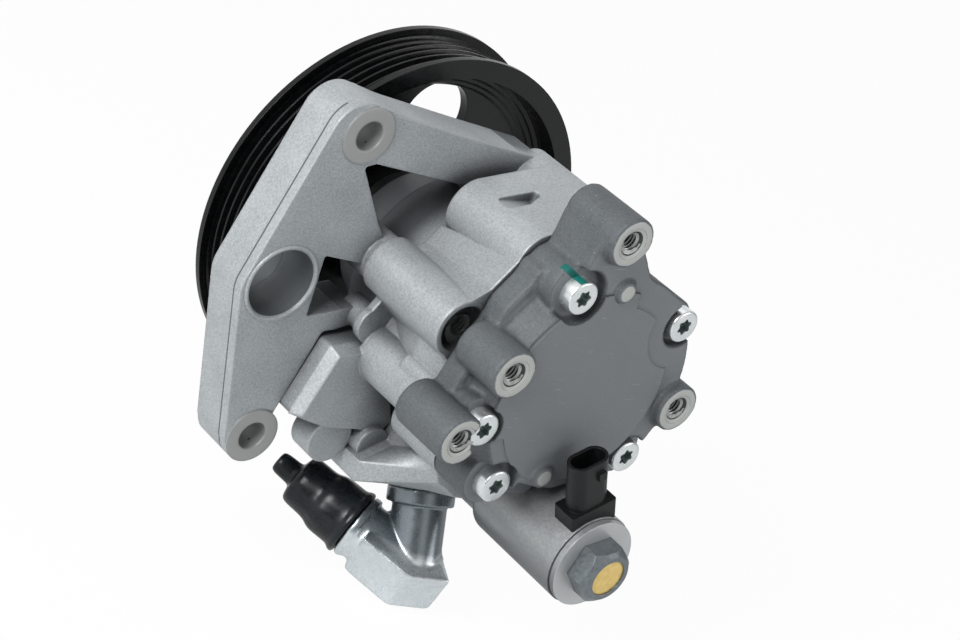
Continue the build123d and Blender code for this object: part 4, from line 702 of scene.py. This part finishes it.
# %% Paint film
tree, shader, place = new_material("green_marking_paint", 0.0, 0.42)
streak_size = 0.8 * MM
streak = add_node(tree, "ShaderNodeTexNoise", {}, {"Vector": place, "Scale": 1 / streak_size})
green = lay_over(tree, linear("#0a5f57"), [(streak, "#10786d")])
tree.links.new(green, shader.inputs["Base Color"])
film_y, film_height, film_gap, film_middle, film_half = -108.1 * MM, 4.4 * MM, 0.02 * MM, 112, 14
x, z = bolt_points[0]
clear_selection()
bpy.ops.mesh.primitive_cylinder_add(vertices=72, radius=head_radius + film_gap, depth=film_height,
                                    location=(x * MM, film_y, z * MM), end_fill_type="NOTHING",
                                    rotation=(math.radians(90), 0, 0))
film = new_piece()
bpy.ops.object.mode_set(mode="EDIT")
side_way = Vector((math.cos(math.radians(film_middle)), 0, math.sin(math.radians(film_middle))))
pick(film, "faces", lambda f: f.normal.dot(side_way) < math.cos(math.radians(film_half)))
bpy.ops.mesh.delete(type="FACE")
bpy.ops.object.mode_set(mode="OBJECT")
shape_with(film, "SOLIDIFY", thickness=0.08 * MM, offset=1.0)
finish_piece(film, "paint_dash", "pump_body", "zinc_screw",
             material=bpy.data.materials["green_marking_paint"])

# %% [markdown]
# ## Lip in front of the bracket's tube
# Through the round opening in the bracket the photograph shows grey casting in place of the black
# pulley: a half-round lip stands out in front, on the side of the body. It is an open cylinder
# with the outer half of its faces deleted, a wall from Solidify and round edges from Bevel.

# %% Half-round lip
lip_radius, lip_depth, lip_y = 14.1 * MM, 7.2 * MM, -26.4 * MM
clear_selection()
bpy.ops.mesh.primitive_cylinder_add(vertices=72, radius=lip_radius, depth=lip_depth,
                                    location=(tube_x * MM, lip_y, tube_z * MM),
                                    rotation=(math.radians(90), 0, 0), end_fill_type="NOTHING")
sleeve = new_piece()
bpy.ops.object.mode_set(mode="EDIT")
away_from_body = Vector((-0.74, 0, 0.67))
pick(sleeve, "faces", lambda f: f.normal.dot(away_from_body) > -0.12)
bpy.ops.mesh.delete(type="FACE")
bpy.ops.object.mode_set(mode="OBJECT")
shape_with(sleeve, "SOLIDIFY", thickness=2.1 * MM, offset=-1.0)
shape_with(sleeve, "BEVEL", width=0.5 * MM, segments=2)
finish_piece(sleeve, "tube_lip", "pump_body", "housing_cast", 40)

# %% [markdown]
# ## Rim of the bracket's tube
# A low round bead runs about the mouth of the tube. It is a torus sunk to its middle in the face.

# %% Rim
bead_circle, bead_radius, bracket_face_y = 12.95 * MM, 0.8 * MM, -46.5 * MM
clear_selection()
bpy.ops.mesh.primitive_torus_add(major_radius=bead_circle, minor_radius=bead_radius,
                                 major_segments=96, minor_segments=16,
                                 location=(tube_x * MM, bracket_face_y, tube_z * MM),
                                 rotation=(math.radians(90), 0, 0))
finish_piece(new_piece(), "tube_rim", "pump_body", "housing_cast", 60)

# %% [markdown]
# ## Cover with cast edges
# A die casting has a fillet at every inner and outer edge, because liquid metal doesn't fill sharp
# corners. The CAD cover has sharp ones. Its mesh is loose triangles, so a copy has its doubled
# vertices merged and its stored normals cleared first. A Remesh modifier then lays an even net of
# 0.7 mm over it, and ten rounds of smoothing give its edges a radius of about a millimetre.

# %% Copies of CAD nodes with round edges
def merged_copy(node, name):
    """An active copy of a CAD node, with doubled vertices merged and stored normals cleared."""
    clear_selection()
    copy = bpy.data.objects.new(name, nodes[node].data.copy())
    bpy.context.scene.collection.objects.link(copy)
    copy.select_set(True)
    bpy.context.view_layer.objects.active = copy
    bpy.ops.mesh.customdata_custom_splitnormals_clear()
    bpy.ops.object.mode_set(mode="EDIT")
    bpy.ops.mesh.select_all(action="SELECT")
    bpy.ops.mesh.remove_doubles(threshold=0.01 * MM)
    bpy.ops.object.mode_set(mode="OBJECT")
    return copy


def cast_edges(piece, net_mm, rounds):
    """Lays an even net over a piece and relaxes it, so its edges go round as on a casting."""
    shape_with(piece, "REMESH", mode="VOXEL", voxel_size=net_mm * MM, adaptivity=0.0)
    shape_with(piece, "SMOOTH", factor=0.5, iterations=rounds)


cover = merged_copy("rear_cover", "cover_soft")
cast_edges(cover, 0.7, 10)
finish_piece(cover, "cover_soft", "pump_body", "cover_cast", 80)
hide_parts("rear_cover")

# %% [markdown]
# ## Smooth top of the cover
# On the left the smooth top of the cover runs out to its sloped rim, and on the right it ends in
# a low step. It is a thin disc whose right part is drawn in, with round cuts for the bolt heads.
# The cuts are Boolean differences with cylinders that are deleted afterwards.

# %% Disc with its right part drawn in
wide_radius, step_radius, wide_from, wide_to = 38.0 * MM, 33.02 * MM, 82, 207
top_thickness, top_y = 1.03 * MM, -110.515 * MM
clear_selection()
bpy.ops.mesh.primitive_cylinder_add(vertices=180, radius=wide_radius, depth=top_thickness,
                                    location=(0, top_y, 0), rotation=(math.radians(90), 0, 0),
                                    end_fill_type="NGON")
top = new_piece()
bpy.ops.object.mode_set(mode="EDIT")
pick(top, "verts", lambda v: not wide_from < math.degrees(math.atan2(v.co.z, v.co.x)) % 360
     < wide_to)
drawn_in = step_radius / wide_radius
bpy.ops.transform.resize(value=(drawn_in, 1, drawn_in), center_override=(0, 0, 0))
bpy.ops.object.mode_set(mode="OBJECT")
print("top disc", len(top.data.vertices), "vertices")

# %% Round cuts for the bolt heads
# One radius in mm for each bolt; the third bolt lies outside the step and needs no cut
cut_radii, cut_y = (9.4, 15.4, 0.0, 8.6, 7.2), -110.5 * MM
for (x, z), cut in zip(bolt_points, cut_radii):
    if not cut:
        continue
    clear_selection()
    bpy.ops.mesh.primitive_cylinder_add(vertices=96, radius=cut * MM, depth=6 * MM,
                                        location=(x * MM, cut_y, z * MM),
                                        rotation=(math.radians(90), 0, 0))
    cutter = bpy.context.object
    clear_selection()
    top.select_set(True)
    bpy.context.view_layer.objects.active = top
    shape_with(top, "BOOLEAN", object=cutter, operation="DIFFERENCE", solver="EXACT")
    bpy.data.objects.remove(cutter)
finish_piece(top, "cover_top", "pump_body", "cover_cast", 30)

# %% [markdown]
# ## Elbow with forged edges
# The elbow is forged and zinc plated, so all its edges are round and its bright skin bends the
# light over them. A copy gets the same treatment as the cover, with a finer net of 0.45 mm. The
# forged block at its lower end is rounder than the turned stem, so there the smoothing goes on
# until its edges have about two millimetres, as in the photograph. A vertex group keeps it there.

# %% Softened copy of the elbow
block_top, block_rounds = -87 * MM, 50
elbow = merged_copy("elbow_fitting", "elbow_soft")
cast_edges(elbow, 0.45, 12)
block = elbow.vertex_groups.new(name="block")
block.add([v.index for v in elbow.data.vertices if v.co.z < block_top], 1.0, "REPLACE")
shape_with(elbow, "SMOOTH", factor=0.5, iterations=block_rounds, vertex_group="block")
elbow.vertex_groups.clear()
finish_piece(elbow, "elbow_soft", "pump_body", "zinc_fitting", 80)
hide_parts("elbow_fitting")

# %% [markdown]
# ## Valve spring
# The valve's spring lies inside the housing between a fixed seat and the sliding spool. A CAD
# piece never changes its shape, so a copy stands for it.

# %% Spring of the flow valve
low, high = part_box("spool_spring")
spring = merged_copy("spool_spring", "valve_spring")
finish_piece(spring, "valve_spring", "pump_body", "spring_steel", 60)
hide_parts("spool_spring")
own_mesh(spring)

# %% [markdown]
# ## Rubber cap
# The outlet is closed for shipping by a black rubber cap with a rim, a fat body and a thin tip.
# It has been squeezed, so its body has soft dents. A circle is extruded and resized along the
# outlet's axis, then a few uneven columns of the body are drawn in a little, and a subdivision
# surface rounds everything. It is made upright and then turned onto the elbow's outlet.

# %% Cap outline, from the rim to the tip
# Height along the outlet and radius at each step, in mm
rim_level, rim_radius = 25.5, 8.75
cap_steps = ((25.5, 12.2), (26.6, 12.6), (27.9, 12.2), (28.9, 11.3), (32.0, 11.4), (36.5, 11.5),
             (38.6, 10.9), (40.5, 9.9), (44.0, 9.7), (49.0, 9.6), (50.8, 8.6), (51.2, 4.8),
             (52.5, 4.2), (58.2, 4.2), (59.8, 3.3))
clear_selection()
bpy.ops.mesh.primitive_circle_add(vertices=36, radius=rim_radius * MM, fill_type="NOTHING",
                                  location=(0, 0, rim_level * MM))
cap = new_piece()
bpy.ops.object.mode_set(mode="EDIT")
level, radius = rim_level, rim_radius
for next_level, next_radius in cap_steps:
    climb, grow = (next_level - level) * MM, next_radius / radius
    bpy.ops.mesh.extrude_region_move(TRANSFORM_OT_translate={"value": (0, 0, climb)})
    bpy.ops.transform.resize(value=(grow, grow, 1), center_override=(0, 0, next_level * MM))
    level, radius = next_level, next_radius
bpy.ops.mesh.edge_face_add()
bpy.ops.mesh.inset(thickness=1.4 * MM, depth=0.25 * MM)
print("outer skin:", len(cap.data.vertices), "vertices before the inside is added")

# %% Inside of the cap
inside_steps = (6.0, 6.0, 6.3)
pick(cap, "edges", lambda e: all(abs(v.co.z - rim_level * MM) < 1e-5
                                 and v.co.xy.length < 9 * MM for v in e.verts))
for climb in inside_steps:
    bpy.ops.mesh.extrude_region_move(TRANSFORM_OT_translate={"value": (0, 0, climb * MM)})
bpy.ops.mesh.edge_face_add()
print("the inside ends", rim_level + sum(inside_steps), "mm from the elbow's centre")

# %% Dents, rounding and the turn onto the outlet
# Column of the 36, height in mm where its dent starts, and how far it is drawn in
dents = ((2, 31, 0.965), (3, 33, 0.975), (4, 31, 0.985), (11, 35, 0.96), (12, 35, 0.97),
         (19, 33, 0.965), (20, 31, 0.96), (21, 31, 0.98), (27, 36, 0.97), (28, 35, 0.965),
         (33, 32, 0.975))
dent_top, skin_radius, dent_centre = 41 * MM, 9.3 * MM, 35 * MM
for column, lowest_mm, squeeze in dents:
    pick(cap, "verts", lambda v: lowest_mm * MM < v.co.z < dent_top
         and v.co.xy.length > skin_radius
         and round(math.atan2(v.co.y, v.co.x) / math.radians(10)) % 36 == column)
    bpy.ops.transform.resize(value=(squeeze, squeeze, 1), center_override=(0, 0, dent_centre))
bpy.ops.mesh.select_all(action="SELECT")
bpy.ops.mesh.normals_make_consistent(inside=False)
bpy.ops.object.mode_set(mode="OBJECT")
shape_with(cap, "SUBSURF", levels=2, render_levels=2)
elbow_centre = Vector((-0.61, -72.97, -95.29)) * MM
outlet = Vector((-0.508861, 0.827141, 0.238533))
onto_outlet = outlet.to_track_quat("Z", "Y").to_matrix().to_4x4()
cap.data.transform(Matrix.Translation(elbow_centre) @ onto_outlet)
finish_piece(cap, "rubber_cap", "pump_body", "cap_rubber", 60)
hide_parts("port_cap")

# %% [markdown]
# ## Floor
# The floor is plain and pale, and keeps the pump's shadow. For the camera most of it glows white,
# and the rest is lit paint, which takes the shadow. Mirror rays see a little of the glow too.

# %% Floor
camera_glow, mirror_glow = 0.96, 0.25
lowest = min(corner[2] for corner in cad_box)
clear_selection()
bpy.ops.mesh.primitive_plane_add(size=8.0, location=(0, 0, lowest - 0.5 * MM))
floor = bpy.context.object
floor.name = "floor"
floor_material = bpy.data.materials.new("pale_floor")
floor_material.use_nodes = True
tree = floor_material.node_tree
tree.nodes.remove(tree.nodes["Principled BSDF"])
path = add_node(tree, "ShaderNodeLightPath", {}, {})
mirrored = add_node(tree, "ShaderNodeMath", {"operation": "MULTIPLY"},
                    {0: path.outputs["Is Glossy Ray"], 1: mirror_glow})
share = add_node(tree, "ShaderNodeMath", {"operation": "MULTIPLY_ADD"},
                 {0: path.outputs["Is Camera Ray"], 1: camera_glow, 2: mirrored})
tone = lay_over(tree, linear("#ecedec"), [(path.outputs["Is Camera Ray"], "#f4f4f3")])
paint = add_node(tree, "ShaderNodeBsdfDiffuse", {}, {"Color": tone})
glow = add_node(tree, "ShaderNodeEmission", {}, {"Color": (1, 1, 1, 1), "Strength": 1.0})
mixed = add_node(tree, "ShaderNodeMixShader", {}, {0: share, 1: paint, 2: glow})
tree.links.new(mixed.outputs[0], tree.nodes["Material Output"].inputs["Surface"])
floor.data.materials.append(floor_material)
print("floor at z", round(lowest, 4))

# %% [markdown]
# ## World
# The world is white for the camera. In reflections it has the walls of a real studio: white on
# the side of the big lamp and behind the pump, dark where the photographer stands, one narrow
# white panel beside that, and a dark right side. A ramp over the compass heading gives these
# walls, and they give metal its light and dark bands. A grey ceiling takes over higher up. As a
# light the world is dimmer, so shadows keep their depth.

# %% Studio walls round the compass
world = bpy.data.worlds.new("studio")
bpy.context.scene.world = world
world.use_nodes = True
tree = world.node_tree
sky = add_node(tree, "ShaderNodeTexCoord", {}, {}).outputs["Generated"]
heading = add_node(tree, "ShaderNodeSeparateXYZ", {}, {0: sky})
angle = add_node(tree, "ShaderNodeMath", {"operation": "ARCTAN2"},
                 {0: heading.outputs["Y"], 1: heading.outputs["X"]})
around = add_node(tree, "ShaderNodeMapRange", {},
                  {"Value": angle, "From Min": -math.pi, "From Max": math.pi})
panels = add_node(tree, "ShaderNodeValToRGB", {}, {0: around})
# Compass heading in degrees, from -180 to 180, and the brightness of the wall there
walls = ((-180, 1.0), (-165, 0.95), (-155, 0.12), (-124, 0.12), (-112, 0.85), (-94, 0.85),
         (-82, 0.20), (0, 0.30), (30, 1.0), (180, 1.0))
ramp = panels.color_ramp
ramp.elements[0].position, ramp.elements[1].position = 0.0, 1.0
for degrees, brightness in walls[1:-1]:
    ramp.elements.new((degrees + 180) / 360)
for stop, (degrees, brightness) in zip(ramp.elements, walls):
    stop.color = (brightness, brightness, brightness, 1.0)
print("stops on the ramp:", len(ramp.elements))

# %% Ceiling, and what each kind of ray sees
ceiling_tone, ceiling_share, ceiling_starts, ceiling_full = 0.70, 0.75, 0.35, 0.85
path = add_node(tree, "ShaderNodeLightPath", {}, {})
seen = path.outputs["Is Camera Ray"]
for kind in ("Is Glossy Ray", "Is Transmission Ray"):
    seen = add_node(tree, "ShaderNodeMath", {"operation": "MAXIMUM"},
                    {0: seen, 1: path.outputs[kind]})
dim = tree.nodes["Background"]
dim.inputs["Color"].default_value = (0.9, 0.95, 1.0, 1.0)
dim.inputs["Strength"].default_value = 0.30
up = add_node(tree, "ShaderNodeMapRange", {},
              {"Value": heading.outputs["Z"], "From Min": ceiling_starts,
               "From Max": ceiling_full, "To Min": 0.0, "To Max": ceiling_share})
wall_light = add_node(tree, "ShaderNodeMix", {"data_type": "FLOAT"},
                      {0: up, 2: panels, 3: ceiling_tone})
strength = add_node(tree, "ShaderNodeMath", {"operation": "MAXIMUM"},
                    {0: wall_light, 1: path.outputs["Is Camera Ray"]})
white = add_node(tree, "ShaderNodeBackground", {}, {"Color": (1, 1, 1, 1), "Strength": strength})
mixed = add_node(tree, "ShaderNodeMixShader", {}, {0: seen, 1: dim, 2: white})
tree.links.new(mixed.outputs[0], tree.nodes["World Output"].inputs["Surface"])
print("world:", len(tree.nodes), "nodes")

# %% [markdown]
# ## Soft boxes
# A product photograph is lit by large soft boxes. One big lamp stands high on the left, a weaker
# one on the right, and a third behind. Each is placed by its way from the pump's middle, in
# metres, and aimed back at it.

# %% Three lamps
pump_middle = Vector((-0.01, -0.05, 0.0))
for name, way, size, power in (("key_left", (-0.88, -0.12, 0.55), 0.50, 11.0),
                               ("fill_right", (0.55, -0.85, 0.35), 0.60, 3.0),
                               ("top_back", (0.15, 0.35, 0.95), 0.50, 0.5)):
    lamp_data = bpy.data.lights.new(name, "AREA")
    lamp_data.size = size
    lamp_data.energy = power
    lamp = bpy.data.objects.new(name, lamp_data)
    bpy.context.scene.collection.objects.link(lamp)
    aim = (-Vector(way)).to_track_quat("-Z", "Y").to_matrix().to_4x4()
    lamp.matrix_world = Matrix.Translation(pump_middle + Vector(way)) @ aim
    print(name, power, "W")
